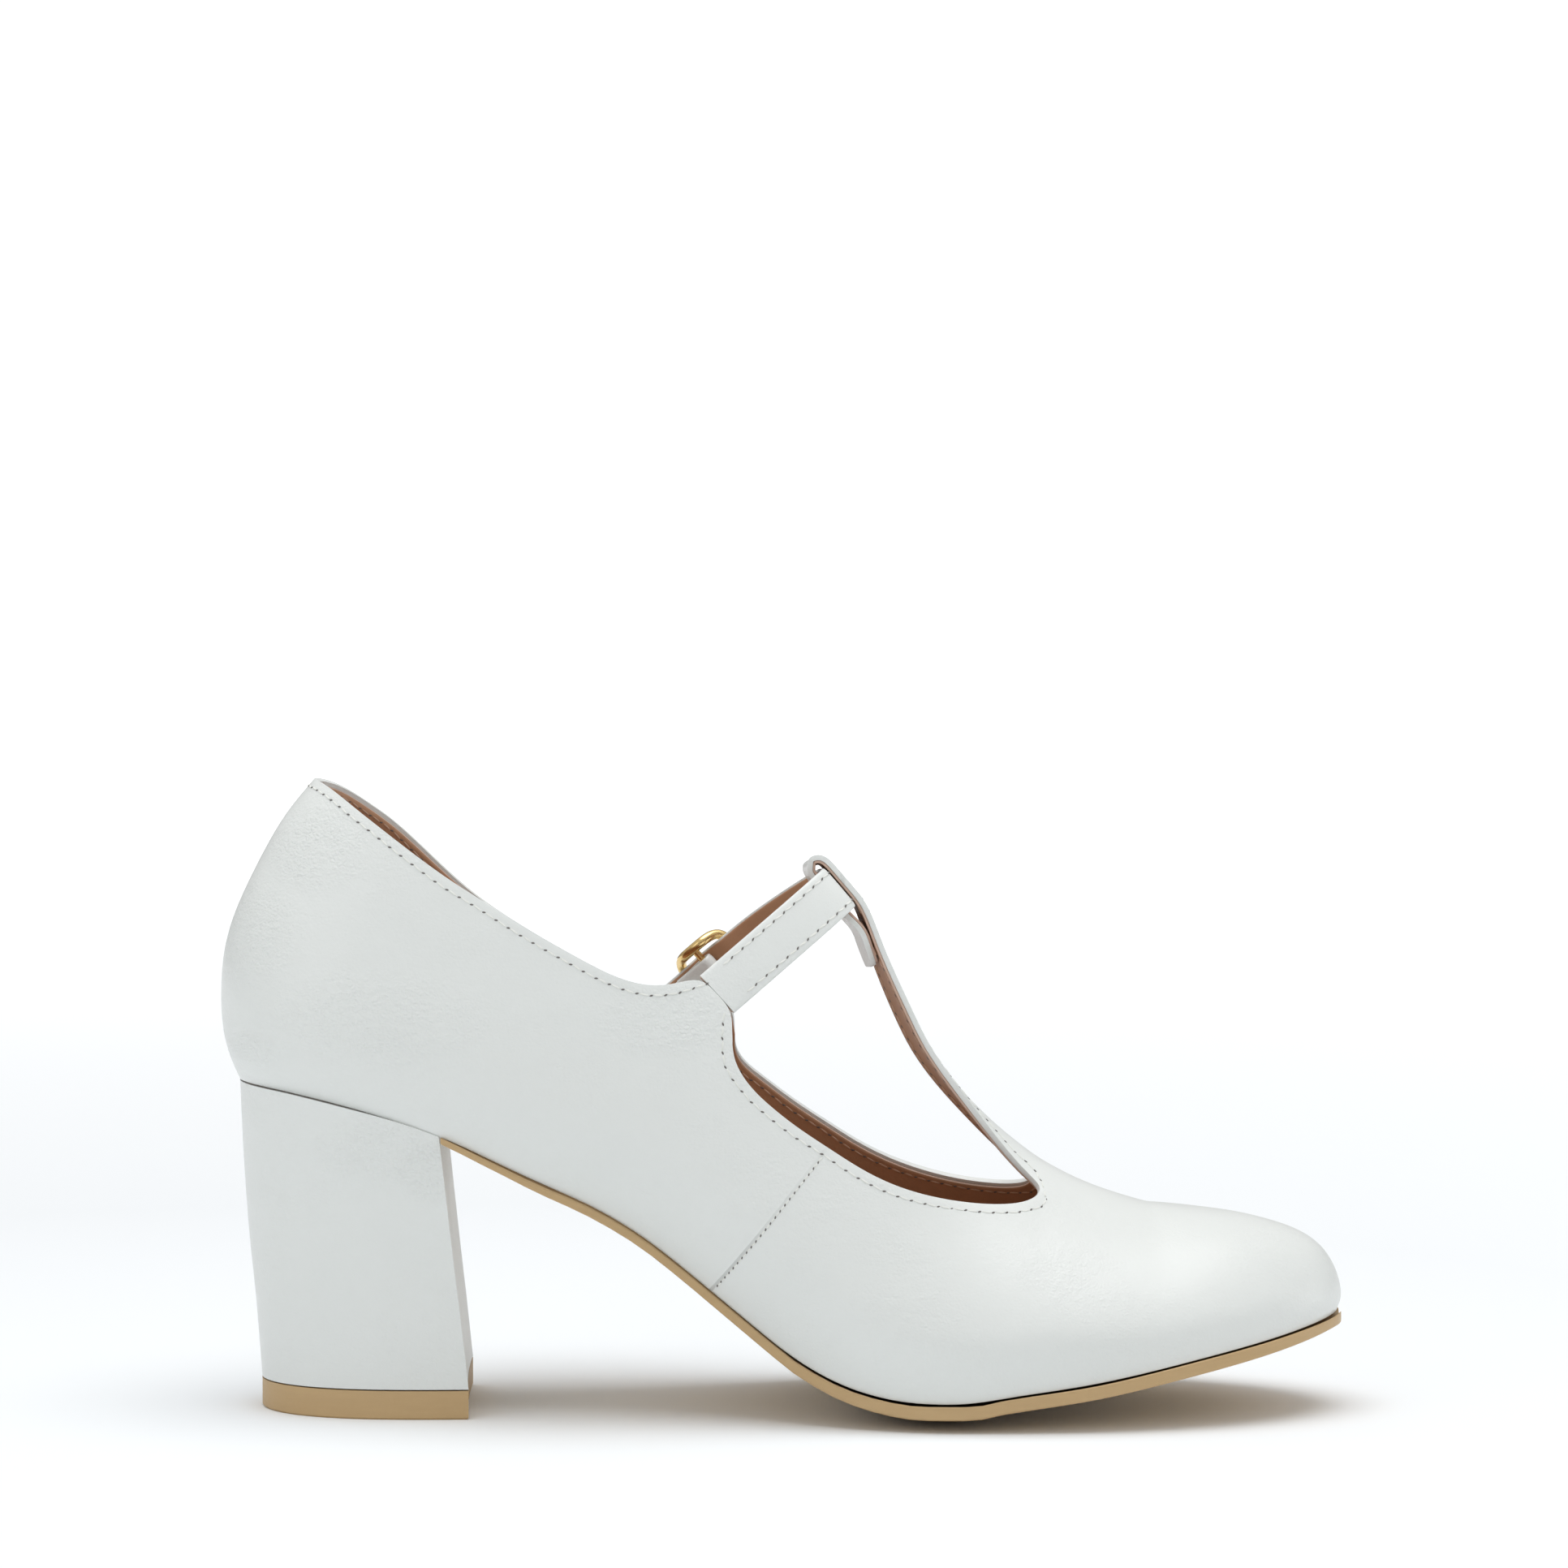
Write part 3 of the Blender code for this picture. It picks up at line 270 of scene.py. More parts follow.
# Sections of the upper over the last. Half widths at the fullest height are shares
# of BALL_WIDTH; full and crest are heights above the feather line as shares of
# INSTEP_HEIGHT; round is the exponent of the curve to the crest.
LAST = table("along medial lateral full crest round", [
    (0.207, 0.374, 0.391, 0.157, 0.955, 2.00),
    (0.287, 0.374, 0.398, 0.170, 1.020, 2.00),
    (0.371, 0.388, 0.411, 0.210, 1.100, 1.95),
    (0.413, 0.398, 0.422, 0.220, 1.110, 1.85),
    (0.455, 0.411, 0.436, 0.220, 1.090, 1.65),
    (0.518, 0.448, 0.468, 0.200, 1.030, 1.40),
    (0.582, 0.494, 0.507, 0.145, 0.900, 1.35),
    (0.645, 0.520, 0.534, 0.125, 0.640, 1.40),
    (0.695, 0.520, 0.538, 0.115, 0.515, 1.50),
    (0.729, 0.510, 0.528, 0.105, 0.440, 1.60),
    (0.770, 0.492, 0.506, 0.090, 0.373, 1.70),
    (0.826, 0.447, 0.460, 0.070, 0.304, 1.85),
])
CREST_POWER = 1.25
SEAT_POWER = 3.0
SEAT_POWER_TOP = 2.1
SIDE_POWER = 0.7

# Back seam: lean forward from the rearmost point against the height above the seat,
# both shares of BACK_HEIGHT.
BACK = table("rise lean", [
    (0.000, 0.061),
    (0.049, 0.037),
    (0.100, 0.015),
    (0.200, 0.002),
    (0.279, 0.000),
    (0.361, 0.003),
    (0.467, 0.021),
    (0.576, 0.061),
    (0.686, 0.113),
    (0.796, 0.168),
    (0.911, 0.234),
    (0.969, 0.279),
    (1.020, 0.325),
])

# Top line behind the side columns: rise is a share of BACK_HEIGHT above the seat,
# drop is how much lower the lateral side is.
HEEL_TOP = table("along rise drop", [
    (0.000, 1.000, 0.000),
    (0.085, 1.000, 0.000),
    (0.143, 0.917, 0.000),
    (0.173, 0.867, 0.020),
    (0.207, 0.822, 0.053),
])

# Side columns of the quarters: foot is where a column starts on the feather line,
# along and rise are its end on the collar, the strap seam and the throat's back.
COLLAR = table("foot along rise drop", [
    (0.207, 0.207, 0.822, 0.053),
    (0.238, 0.238, 0.809, 0.072),
    (0.275, 0.280, 0.790, 0.073),
    (0.313, 0.323, 0.772, 0.073),
    (0.334, 0.344, 0.772, 0.073),
    (0.355, 0.365, 0.786, 0.073),
    (0.376, 0.386, 0.821, 0.073),
    (0.393, 0.407, 0.885, 0.070),
    (0.407, 0.430, 0.976, 0.065),
    (0.419, 0.444, 0.960, 0.060),
    (0.431, 0.458, 0.948, 0.056),
    (0.452, 0.4565, 0.860, 0.053),
])

# The same for the throat, with rise and drop as shares of VAMP_HEIGHT.
THROAT = table("foot along rise drop", [
    (0.468, 0.4585, 1.175, 0.060),
    (0.487, 0.470, 1.125, 0.030),
    (0.502, 0.484, 1.105, 0.005),
    (0.527, 0.512, 1.095, 0.000),
    (0.552, 0.540, 1.080, 0.000),
    (0.577, 0.568, 1.034, 0.000),
    (0.603, 0.596, 0.991, 0.000),
    (0.630, 0.624, 0.952, 0.000),
    (0.657, 0.653, 0.914, 0.000),
    (0.683, 0.682, 0.875, 0.000),
    (0.706, 0.708, 0.848, 0.000),
    (0.720, 0.724, 0.856, 0.000),
    (0.730, 0.730, 0.895, 0.000),
])

# Profile of the toe on the middle line, from the feather line back to the crest:
# reach is a share of the toe's length, rise a share of its height.
TOE = table("rise reach", [
    (0.000, 1.000),
    (0.130, 1.025),
    (0.280, 1.012),
    (0.510, 0.955),
    (0.720, 0.830),
    (0.815, 0.700),
    (0.877, 0.575),
    (0.940, 0.320),
    (1.000, 0.000),
])
TOE_START = 0.826
BALL_ALONG = 0.695
TIP_ALONG = 0.996
CORNER_SHARE = 0.895

# Outer line of the T-strap from its root on the vamp to the loop, shares of
# T_STRAP_RUN back and T_STRAP_RISE up, with half width and fall of its edges as
# shares of T_STRAP_WIDTH, and twist as a share of T_TILT.
T_LINE = table("run rise half fall twist", [
    (0.000, 0.000, 1.10, 0.40, 0.0),
    (0.070, 0.036, 0.86, 0.26, 0.1),
    (0.188, 0.098, 0.68, 0.14, 0.3),
    (0.341, 0.191, 0.56, 0.08, 0.6),
    (0.513, 0.316, 0.51, 0.06, 0.9),
    (0.645, 0.440, 0.50, 0.05, 1.0),
    (0.733, 0.565, 0.50, 0.04, 1.0),
    (0.817, 0.689, 0.50, 0.03, 0.9),
    (0.894, 0.815, 0.50, 0.02, 0.7),
    (0.952, 0.935, 0.50, 0.01, 0.5),
    (1.000, 1.000, 0.50, 0.00, 0.4),
])
HEEL_COLUMNS = 8
VAMP_RIBS = 3
TOE_RIBS = 9
LOW_ROWS = 10
TOP_ROWS = 4
ROW_CROWDING = 1.3
ROOT_ROWS = 4
T_EDGE_POWER = 1.6


# Reading the tables
def slopes(xs, ys):
    """Monotone cubic slopes, flat at every turn of the curve."""
    steps = [(ys[i + 1] - ys[i]) / (xs[i + 1] - xs[i]) for i in range(len(xs) - 1)]
    result = [steps[0]]
    for before, after in zip(steps, steps[1:]):
        product = before * after
        result.append(2 * product / (before + after) if product > 0 else 0.0)
    return result + [steps[-1]]


def follow(table, column, at, key="along"):
    """Smooth value of one column of a table at a place on its key column."""
    xs = [getattr(row, key) for row in table]
    ys = [getattr(row, column) for row in table]
    at = min(max(at, xs[0]), xs[-1])
    index = 0
    while index < len(xs) - 2 and at > xs[index + 1]:
        index += 1
    tangents = slopes(xs, ys)
    width = xs[index + 1] - xs[index]
    t = (at - xs[index]) / width
    value = (1 + 2 * t) * (1 - t) ** 2 * ys[index] + t * t * (3 - 2 * t) * ys[index + 1]
    value += width * (t * (1 - t) ** 2 * tangents[index] + t * t * (t - 1) * tangents[index + 1])
    return value


def mix(a, b, share):
    return a * (1 - share) + b * share


def ease(share):
    share = min(max(share, 0.0), 1.0)
    return share * share * (3 - 2 * share)


def x_at(along):
    return along * SHOE_LENGTH - HEEL_SETBACK


def along_at(x):
    return (x + HEEL_SETBACK) / SHOE_LENGTH


def side_name(side):
    return "medial" if side == MEDIAL else "lateral"


# The sole's outline and heights
X_SEAT = x_at(FEATHER[0].along)
X_BALL = x_at(BALL_ALONG)
X_TIP = x_at(TIP_ALONG)
X_SEAT_BACK = -HEEL_SETBACK + BACK[0].lean * BACK_HEIGHT
TOE_POWER = 0.56
TOE_TAPER = 2.3
CROWN_FLAT = 0.3


def feather(side, x, ledge=0.0):
    """Half width of the feather line at x, grown by a ledge."""
    name = side_name(side)
    if x < X_SEAT:
        depth = X_SEAT - X_SEAT_BACK + ledge
        share = min((X_SEAT - x) / depth, 1.0)
        return (FEATHER[0]._asdict()[name] * BALL_WIDTH + ledge) * math.sqrt(1 - share ** SEAT_POWER)
    if x > X_BALL:
        share = min((x - X_BALL) / (X_TIP - X_BALL + ledge), 1.0)
        full = FEATHER[-1]._asdict()[name] * BALL_WIDTH + ledge
        return full * (1 - share ** TOE_TAPER) ** TOE_POWER
    return follow(FEATHER, name, along_at(x)) * BALL_WIDTH + ledge


def sole_bottom(x, share):
    """Height of the outsole's underside, share running from 0 in the middle to 1 at the edge."""
    along = along_at(x)
    middle = follow(SOLE, "heel", along) * HEEL_HEIGHT + follow(SOLE, "spring", along) * TOE_SPRING
    bend = max(0.0, (share - CROWN_FLAT) / (1 - CROWN_FLAT)) ** 2
    return middle + bend * follow(SOLE, "crown", along) * SOLE_CROWN


def bed(x, share=1.0):
    """Height of the face that insole and upper stand on."""
    return sole_bottom(x, share) + follow(SOLE, "thick", along_at(x)) * OUTSOLE_THICKNESS


# The upper over the last
def section(side, x):
    along = along_at(x)
    edge = feather(side, x)
    full = follow(LAST, side_name(side), along) * BALL_WIDTH
    low = follow(LAST, "full", along) * INSTEP_HEIGHT
    crest = follow(LAST, "crest", along) * INSTEP_HEIGHT
    return edge, full, low, crest, follow(LAST, "round", along)


def width_at(side, x, rise):
    """Half width of the upper at x and a height above the feather line."""
    edge, full, low, crest, power = section(side, x)
    if rise < low:
        return mix(edge, full, math.sin(math.pi / 2 * max(rise, 0.0) / low) ** SIDE_POWER)
    share = min((rise - low) / (crest - low), 1.0)
    return full * (1 - share ** CREST_POWER) ** (1 / power)


def rise_at(side, x, width):
    """Height above the feather line where the upper has the given half width."""
    edge, full, low, crest, power = section(side, x)
    share = (1 - min(width / full, 1.0) ** power) ** (1 / CREST_POWER)
    return low + (crest - low) * share


def heel_point(side, turn, rise):
    """Point of the counter, turn running from 0 at the back seam to 1 at the seat's front."""
    share = rise / BACK_HEIGHT
    back = -HEEL_SETBACK + follow(BACK, "lean", share, key="rise") * BACK_HEIGHT
    power = mix(SEAT_POWER, SEAT_POWER_TOP, min(share, 1.0))
    angle = turn * math.pi / 2
    x = X_SEAT - (X_SEAT - back) * max(math.cos(angle), 0.0) ** (2 / power)
    y = side * width_at(side, X_SEAT, rise) * math.sin(angle)
    return Vector((x, y, bed(x) + GAP + rise))


def heel_column(side, turn):
    """Counter points from the seat up to the top line."""
    low = 0.0
    high = BACK_HEIGHT * 1.02
    for _ in range(30):
        middle = (low + high) / 2
        along = along_at(heel_point(side, turn, middle).x)
        top = follow(HEEL_TOP, "rise", along)
        if side == LATERAL:
            top -= follow(HEEL_TOP, "drop", along)
        if middle < top * BACK_HEIGHT:
            low = middle
        else:
            high = middle
    return [heel_point(side, turn, low * row_share(i)) for i in range(LOW_ROWS + 1)]


def row_share(i):
    return (i / LOW_ROWS) ** ROW_CROWDING


def side_column(side, row, height):
    """Straight column in side view, laid onto the last between feather and top line."""
    rise = (row.rise - (row.drop if side == LATERAL else 0.0)) * height
    foot = x_at(row.foot)
    head = x_at(row.along)
    head_z = bed(head) + rise
    points = []
    for i in range(LOW_ROWS + 1):
        share = row_share(i)
        x = mix(foot, head, share)
        z = mix(bed(foot), head_z, share)
        points.append(Vector((x, side * width_at(side, x, z - bed(x)), z + GAP)))
    return points


def toe_reach(side, rise):
    """Half width of the last full section as a share of its feather line."""
    edge, full, low, crest, power = section(side, x_at(TOE_START))
    return width_at(side, x_at(TOE_START), rise * crest) / edge


def toe_rise(side, reach):
    edge, full, low, crest, power = section(side, x_at(TOE_START))
    return rise_at(side, x_at(TOE_START), reach * edge) / crest


def toe_table_rise(reach):
    rows = [row._replace(reach=-row.reach) for row in TOE[1:]]
    return follow(rows, "rise", -reach, key="reach")


def vamp_rib(side, x):
    """Rib in a cross section, from the feather line over to the crest."""
    edge, full, low, crest, power = section(side, x)
    base = bed(x) + GAP
    points = []
    for i in range(LOW_ROWS + 1):
        rise = row_share(i) * CORNER_SHARE * crest
        points.append(Vector((x, side * width_at(side, x, rise), base + rise)))
    start = width_at(side, x, CORNER_SHARE * crest)
    for i in range(1, TOP_ROWS + 1):
        width = start * (1 - i / TOP_ROWS)
        points.append(Vector((x, side * width, base + rise_at(side, x, width))))
    return points


def toe_rib(side, turn):
    """Rib that fans out from the end of the crest, turn 0 across and 1 to the tip."""
    pole_x = x_at(TOE_START)
    pole_z = bed(pole_x) + section(side, pole_x)[3]
    start = (pole_x - X_BALL) / (X_TIP - X_BALL)
    x = mix(X_BALL, X_TIP, mix(start, 1.0, math.sin(turn * math.pi / 2)))
    foot = Vector((x, side * feather(side, x), bed(x)))
    blend = ease(turn)
    split = mix(toe_reach(side, CORNER_SHARE), follow(TOE, "reach", CORNER_SHARE, key="rise"), blend)
    places = []
    for i in range(LOW_ROWS + 1):
        rise = row_share(i) * CORNER_SHARE
        reach = mix(toe_reach(side, rise), follow(TOE, "reach", rise, key="rise"), blend)
        places.append((reach, rise))

    def raw(reach):
        return mix(toe_rise(side, reach), toe_table_rise(reach), blend)

    for i in range(1, TOP_ROWS + 1):
        reach = split * (1 - i / TOP_ROWS)
        part = (raw(reach) - raw(split)) / (1 - raw(split))
        places.append((reach, mix(CORNER_SHARE, 1.0, part)))
    points = []
    for reach, rise in places:
        flat = Vector((pole_x, 0, 0)).lerp(Vector((foot.x, foot.y, 0)), reach)
        points.append(Vector((flat.x, flat.y, mix(foot.z, pole_z, rise) + GAP)))
    return points


# The T-strap's path: up from the vamp, round the instep strap and down inside
LOOP_UP = Vector((-math.sin(LOOP_LEAN), 0, math.cos(LOOP_LEAN)))
LOOP_OUT = Vector((math.cos(LOOP_LEAN), 0, math.sin(LOOP_LEAN)))
LOOP_REACH = WALL + GAP + STRAP_THICKNESS / 2
X_CORNER = x_at(THROAT[-1].along)
ROOT = Vector((X_CORNER, 0, bed(X_CORNER) + GAP + section(MEDIAL, X_CORNER)[3]))
LOOP_FOOT = ROOT + Vector((-T_STRAP_RUN, 0, T_STRAP_RISE))
LOOP_MIDDLE = LOOP_FOOT - LOOP_OUT * LOOP_REACH + LOOP_UP * STRAP_WIDTH / 2
LOOP_STEPS = 6
# Tail inside the shoe: share of the T-strap's rise and share of its width.
TAIL = [(0.90, 1.0), (0.85, 0.97), (0.955 - T_STRAP_TAIL / T_STRAP_RISE, 0.65)]
SLOPE_STEP = 0.02


def t_stations():
    """Centre, outward normal, half width, fall and twist of each station of the T-strap."""
    line = [ROOT + Vector((-row.run * T_STRAP_RUN, 0, row.rise * T_STRAP_RISE)) for row in T_LINE]
    stations = []
    for i, row in enumerate(T_LINE):
        ahead = line[min(i + 1, len(line) - 1)] - line[max(i - 1, 0)]
        if i == len(line) - 1:
            ahead = LOOP_UP + (line[-1] - line[-2]).normalized()
        ahead.normalize()
        out = Vector((ahead.z, 0, -ahead.x))
        sizes = [share * T_STRAP_WIDTH for share in (row.half, row.fall)]
        stations.append((line[i], out, *sizes, row.twist * T_TILT))
    half = T_LINE[-1].half * T_STRAP_WIDTH
    twist = T_LINE[-1].twist * T_TILT
    for share in (0.35, 0.7):
        place = LOOP_FOOT + LOOP_UP * STRAP_WIDTH * share
        stations.append((place, LOOP_OUT, half, 0.0, twist))
    over = LOOP_MIDDLE + LOOP_UP * (STRAP_WIDTH / 2 + GAP)
    for step in range(LOOP_STEPS + 1):
        angle = math.pi * step / LOOP_STEPS
        out = LOOP_OUT * math.cos(angle) + LOOP_UP * math.sin(angle)
        stations.append((over + out * LOOP_REACH, out, half, 0.0, twist))
    for share in (0.5, -0.02):
        place = LOOP_MIDDLE - LOOP_OUT * LOOP_REACH + LOOP_UP * STRAP_WIDTH * (share - 0.5)
        stations.append((place, -LOOP_OUT, half, 0.0, twist))
    lining = 2 * WALL + GAP
    for share, narrow in TAIL:
        run = follow(T_LINE, "run", share, key="rise")
        above, below = (follow(T_LINE, "run", share + step, key="rise")
                        for step in (SLOPE_STEP, -SLOPE_STEP))
        ahead = above - below
        way = Vector((-ahead * T_STRAP_RUN, 0, 2 * SLOPE_STEP * T_STRAP_RISE)).normalized()
        out = Vector((way.z, 0, -way.x))
        place = ROOT + Vector((-run * T_STRAP_RUN, 0, share * T_STRAP_RISE)) - out * lining
        lean = follow(T_LINE, "twist", share, key="rise") * T_TILT
        stations.append((place, -out, half * narrow, 0.0, lean))
    return stations


def across_of(out, twist, inside):
    """Direction across the strap, medial edge high when the strap is twisted."""
    face = -out if inside else out
    return Vector((0, math.cos(twist), 0)) - face * math.sin(twist)


MERGE_REACH = 0.01 * MM


def sharpen(mesh, degrees):
    mesh.shade_smooth()
    mesh.set_sharp_from_angle(angle=math.radians(degrees))


class Skin:
    """Faces from rows of points; shared points are merged at the end."""

    def __init__(self):
        self.points = []
        self.faces = []

    def rows(self, rows):
        for first, second in zip(rows, rows[1:]):
            for i in range(len(first) - 1):
                self.face([first[i], first[i + 1], second[i + 1], second[i]])

    def face(self, corners):
        start = len(self.points)
        self.points.extend(corners)
        self.faces.append(list(range(start, start + len(corners))))

    def build(self, name, finish, out_from=None):
        mesh = bpy.data.meshes.new(name)
        mesh.from_pydata([tuple(p) for p in self.points], [], self.faces)
        shape = bmesh.new()
        shape.from_mesh(mesh)
        bmesh.ops.remove_doubles(shape, verts=shape.verts, dist=MERGE_REACH)
        bmesh.ops.dissolve_degenerate(shape, edges=shape.edges, dist=MERGE_REACH)
        bmesh.ops.recalc_face_normals(shape, faces=shape.faces)
        if out_from is not None:
            turn = sum((f.calc_center_median() - out_from).dot(f.normal) * f.calc_area()
                       for f in shape.faces)
            if turn < 0:
                bmesh.ops.reverse_faces(shape, faces=shape.faces)
        shape.to_mesh(mesh)
        shape.free()
        sharpen(mesh, 35)
        thing = linked(name, mesh)
        mesh.materials.append(finish)
        return thing


# The upper's leather and lining, the line where the vamp laps the quarter, and the
# line where the heel's cover closes.
LEATHER_WALL = 1.15 * MM
LINING_WALL = 0.55 * MM
LINING_DROP = 0.9 * MM
EDGE_ROUND = 0.42 * MM
WHITE = rgba(0.775, 0.798, 0.778)
WHITE_SHADE = rgba(0.735, 0.758, 0.738)
# Painted light: the lining's brown is lighter than the leather's own, standing in for light that does
# not reach inside the shoe.
BROWN = rgba(0.56, 0.310, 0.178)
BROWN_DARK = rgba(0.44, 0.235, 0.130)
SEAM_LIMIT = 100.0 * MM
LAP_STEEPNESS = 1400.0
LAP_DEPTH = 0.55 * MM
COVER_SEAM_Y = 1.0 * MM
COVER_SEAM_HALF = 0.45 * MM
COVER_SEAM_DEPTH = 0.6 * MM
GRAIN_DEPTH = 0.3 * MM
SWELL_DEPTH = 2.0 * MM
# Scales of the leather's textures, and the share of each in the grain's height.
TONE_SCALE, PATCH_SCALE, SWELL_SCALE, GLOSS_SCALE = 24.0, 42.0, 30.0, 60.0
CELL_SCALE, PORE_SCALE, FINE_SCALE, CREASE_SCALE = 1150.0, 520.0, 2600.0, 520.0
CELL_SHARE, PORE_SHARE, FINE_SHARE, CREASE_SHARE = 0.8, 0.4, 0.15, 1.1
CREASE_STRETCH = (0.8, 0.8, 1.7)
GRAIN_LEAST, GRAIN_RANGE = 0.20, 0.80
GLOSS_LEAST, GLOSS_RANGE = 0.30, 0.12
PATCH_FLOOR, PATCH_GAIN, PATCH_SHARE, SPOT_GAIN = 0.45, 4.0, 0.55, 1.3
SEAM_TOP_XZ = (96.3 * MM, 56.8 * MM)
SEAM_FOOT_XZ = (73.7 * MM, 28.7 * MM)

# Patches where the skin is drawn together: middle and reach along X and Z.
QUARTER_PATCHES = table("x z reach_x reach_z", [
    (2.7 * MM, 84.5 * MM, 26 * MM, 11 * MM),
    (-23.0 * MM, 101.0 * MM, 14 * MM, 13 * MM),
    (-8.7 * MM, 119.0 * MM, 13 * MM, 10 * MM),
    (62.0 * MM, 84.0 * MM, 15 * MM, 8 * MM),
    (-22.0 * MM, 77.0 * MM, 8 * MM, 4 * MM),
])


def leather(name, grain=1.0, seam=False, breast=False, patches=()):
    """White grained leather with a satin finish; seam adds the vamp's lap, breast the cover's seam."""
    graph = Graph(name)
    tone = graph.noise(TONE_SCALE, 4.0, 0.6)
    height = graph.cells(CELL_SCALE) * CELL_SHARE + graph.cells(PORE_SCALE) * PORE_SHARE
    height = height + graph.noise(FINE_SCALE, 2.0, 0.6) * FINE_SHARE
    height = height + graph.noise(CREASE_SCALE, 3.0, 0.55, stretch=CREASE_STRETCH) * CREASE_SHARE
    patch = graph.noise(PATCH_SCALE, 3.0, 0.55) - PATCH_FLOOR
    patch = patch.op("MULTIPLY", PATCH_GAIN, clamp=True) * PATCH_SHARE
    ahead, across, up = (graph.node("ShaderNodeSeparateXYZ", {}, {0: graph.place()}, axis)
                         for axis in range(3))
    for spot in patches:
        wide = ((ahead - spot.x) / spot.reach_x).op("POWER", 2.0)
        tall = ((up - spot.z) / spot.reach_z).op("POWER", 2.0)
        patch = patch + (1.0 - (wide + tall)).op("MULTIPLY", SPOT_GAIN, clamp=True)
    skin_bump = graph.bump(height * (GRAIN_LEAST + patch * GRAIN_RANGE), 0.8 * grain, GRAIN_DEPTH)
    normal = graph.bump(graph.noise(SWELL_SCALE, 2.0, 0.5), 0.5, SWELL_DEPTH, skin_bump)
    if seam:
        rise = Vector((SEAM_TOP_XZ[0] - SEAM_FOOT_XZ[0], SEAM_TOP_XZ[1] - SEAM_FOOT_XZ[1]))
        rise.normalize()
        offset = SEAM_FOOT_XZ[0] * rise.y - SEAM_FOOT_XZ[1] * rise.x
        distance = ahead * rise.y - up * rise.x - offset
        step = (distance * LAP_STEEPNESS + 0.5).op("MAXIMUM", 0.0).op("MINIMUM", 1.0)
        step = step.op("MAXIMUM", (ahead / MM - SEAM_LIMIT / MM).op("MULTIPLY", 1.0, clamp=True))
        normal = graph.bump(step, 1.0, LAP_DEPTH, normal)
    if breast:
        groove = ((across - COVER_SEAM_Y).op("ABSOLUTE") / COVER_SEAM_HALF).op("MINIMUM", 1.0)
        groove = groove.op("MAXIMUM", (ahead * -200.0).op("MULTIPLY", 1.0, clamp=True))
        normal = graph.bump(groove, 1.0, COVER_SEAM_DEPTH, normal)
    colour = graph.blend(tone, WHITE_SHADE, WHITE)
    rough = GLOSS_LEAST + graph.noise(GLOSS_SCALE, 3.0, 0.6) * GLOSS_RANGE
    return graph.finish(base_color=colour, roughness=rough, normal=normal, coat_weight=0.15,
                        coat_roughness=0.25)


def lining_leather(name, dark, light):
    graph = Graph(name)
    tone = graph.noise(70.0, 4.0, 0.65)
    colour = graph.blend(tone, dark, light)
    bump = graph.bump(graph.cells(900.0) + graph.noise(1800.0, 2.0, 0.5) * 0.5, 0.25, 0.0002)
    return graph.finish(base_color=colour, roughness=0.62, normal=bump)


WHITE_LEATHER = leather("white_leather_look", 1.0, seam=True, patches=QUARTER_PATCHES)
BROWN_LINING = lining_leather("brown_lining_look", BROWN_DARK, BROWN)
CUT_EDGE = Graph("pink_cut_edge").finish(base_color=rgba(0.62, 0.44, 0.35), roughness=0.8)


def upper_grid():
    """The upper's outer face as strips of rows: band, toe cap and T-strap."""
    strips = []
    corners = {}
    for side in (MEDIAL, LATERAL):
        columns = [heel_column(side, k / HEEL_COLUMNS) for k in range(HEEL_COLUMNS)]
        columns += [side_column(side, row, BACK_HEIGHT) for row in COLLAR]
        columns += [side_column(side, row, VAMP_HEIGHT) for row in THROAT[:-1]]
        ribs = [vamp_rib(side, mix(X_CORNER, x_at(TOE_START), k / VAMP_RIBS))
                for k in range(VAMP_RIBS + 1)]
        ribs += [toe_rib(side, (k + 1) / TOE_RIBS) for k in range(TOE_RIBS)]
        strips.append(columns + [rib[:LOW_ROWS + 1] for rib in ribs])
        strips.append([rib[LOW_ROWS:] for rib in ribs])
        corners[side] = ribs[0][LOW_ROWS:]
    root = corners[MEDIAL] + corners[LATERAL][-2::-1]
    rows = [root]
    for index, (centre, out, half, fall, twist) in enumerate(t_stations()[1:], 1):
        across = across_of(out, twist, index >= len(T_LINE) + LOOP_STEPS)
        row = []
        for j, corner in enumerate(root):
            share = j / TOP_ROWS - 1
            place = centre + across * half * share - out * fall * abs(share) ** T_EDGE_POWER
            moved = corner + (centre - ROOT)
            moved.y = place.y
            row.append(moved.lerp(place, ease(index / ROOT_ROWS)))
        rows.append(row)
    strips.append(rows)
    return strips


def modifier(thing, kind, **settings):
    made = thing.modifiers.new(kind.lower(), kind)
    for key, value in settings.items():
        setattr(made, key, value)
    return made


def rounded(thing, width, segments, degrees):
    """Bevel on every edge sharper than an angle."""
    modifier(thing, "BEVEL", width=width, segments=segments, limit_method="ANGLE",
             angle_limit=math.radians(degrees))


def settled(thing):
    """The object with its modifiers turned into a plain mesh."""
    graph = bpy.context.evaluated_depsgraph_get()
    graph.update()
    mesh = bpy.data.meshes.new_from_object(thing.evaluated_get(graph))
    thing.modifiers.clear()
    old = thing.data
    thing.data = mesh
    bpy.data.meshes.remove(old)
    return thing


strips = upper_grid()
skin = Skin()
for strip in strips:
    skin.rows(strip)
INSIDE_OF_SHOE = Vector((x_at(0.5), 0, HEEL_HEIGHT * 0.29))
LINING_GAP = 0.03 * MM


def tree_of(thing):
    return BVHTree.FromObject(thing, bpy.context.evaluated_depsgraph_get())


upper_leather = skin.build("upper_leather", WHITE_LEATHER, out_from=INSIDE_OF_SHOE)
modifier(upper_leather, "SUBSURF", levels=2, render_levels=2, boundary_smooth="ALL")
settled(upper_leather)
outer_tree = tree_of(upper_leather)

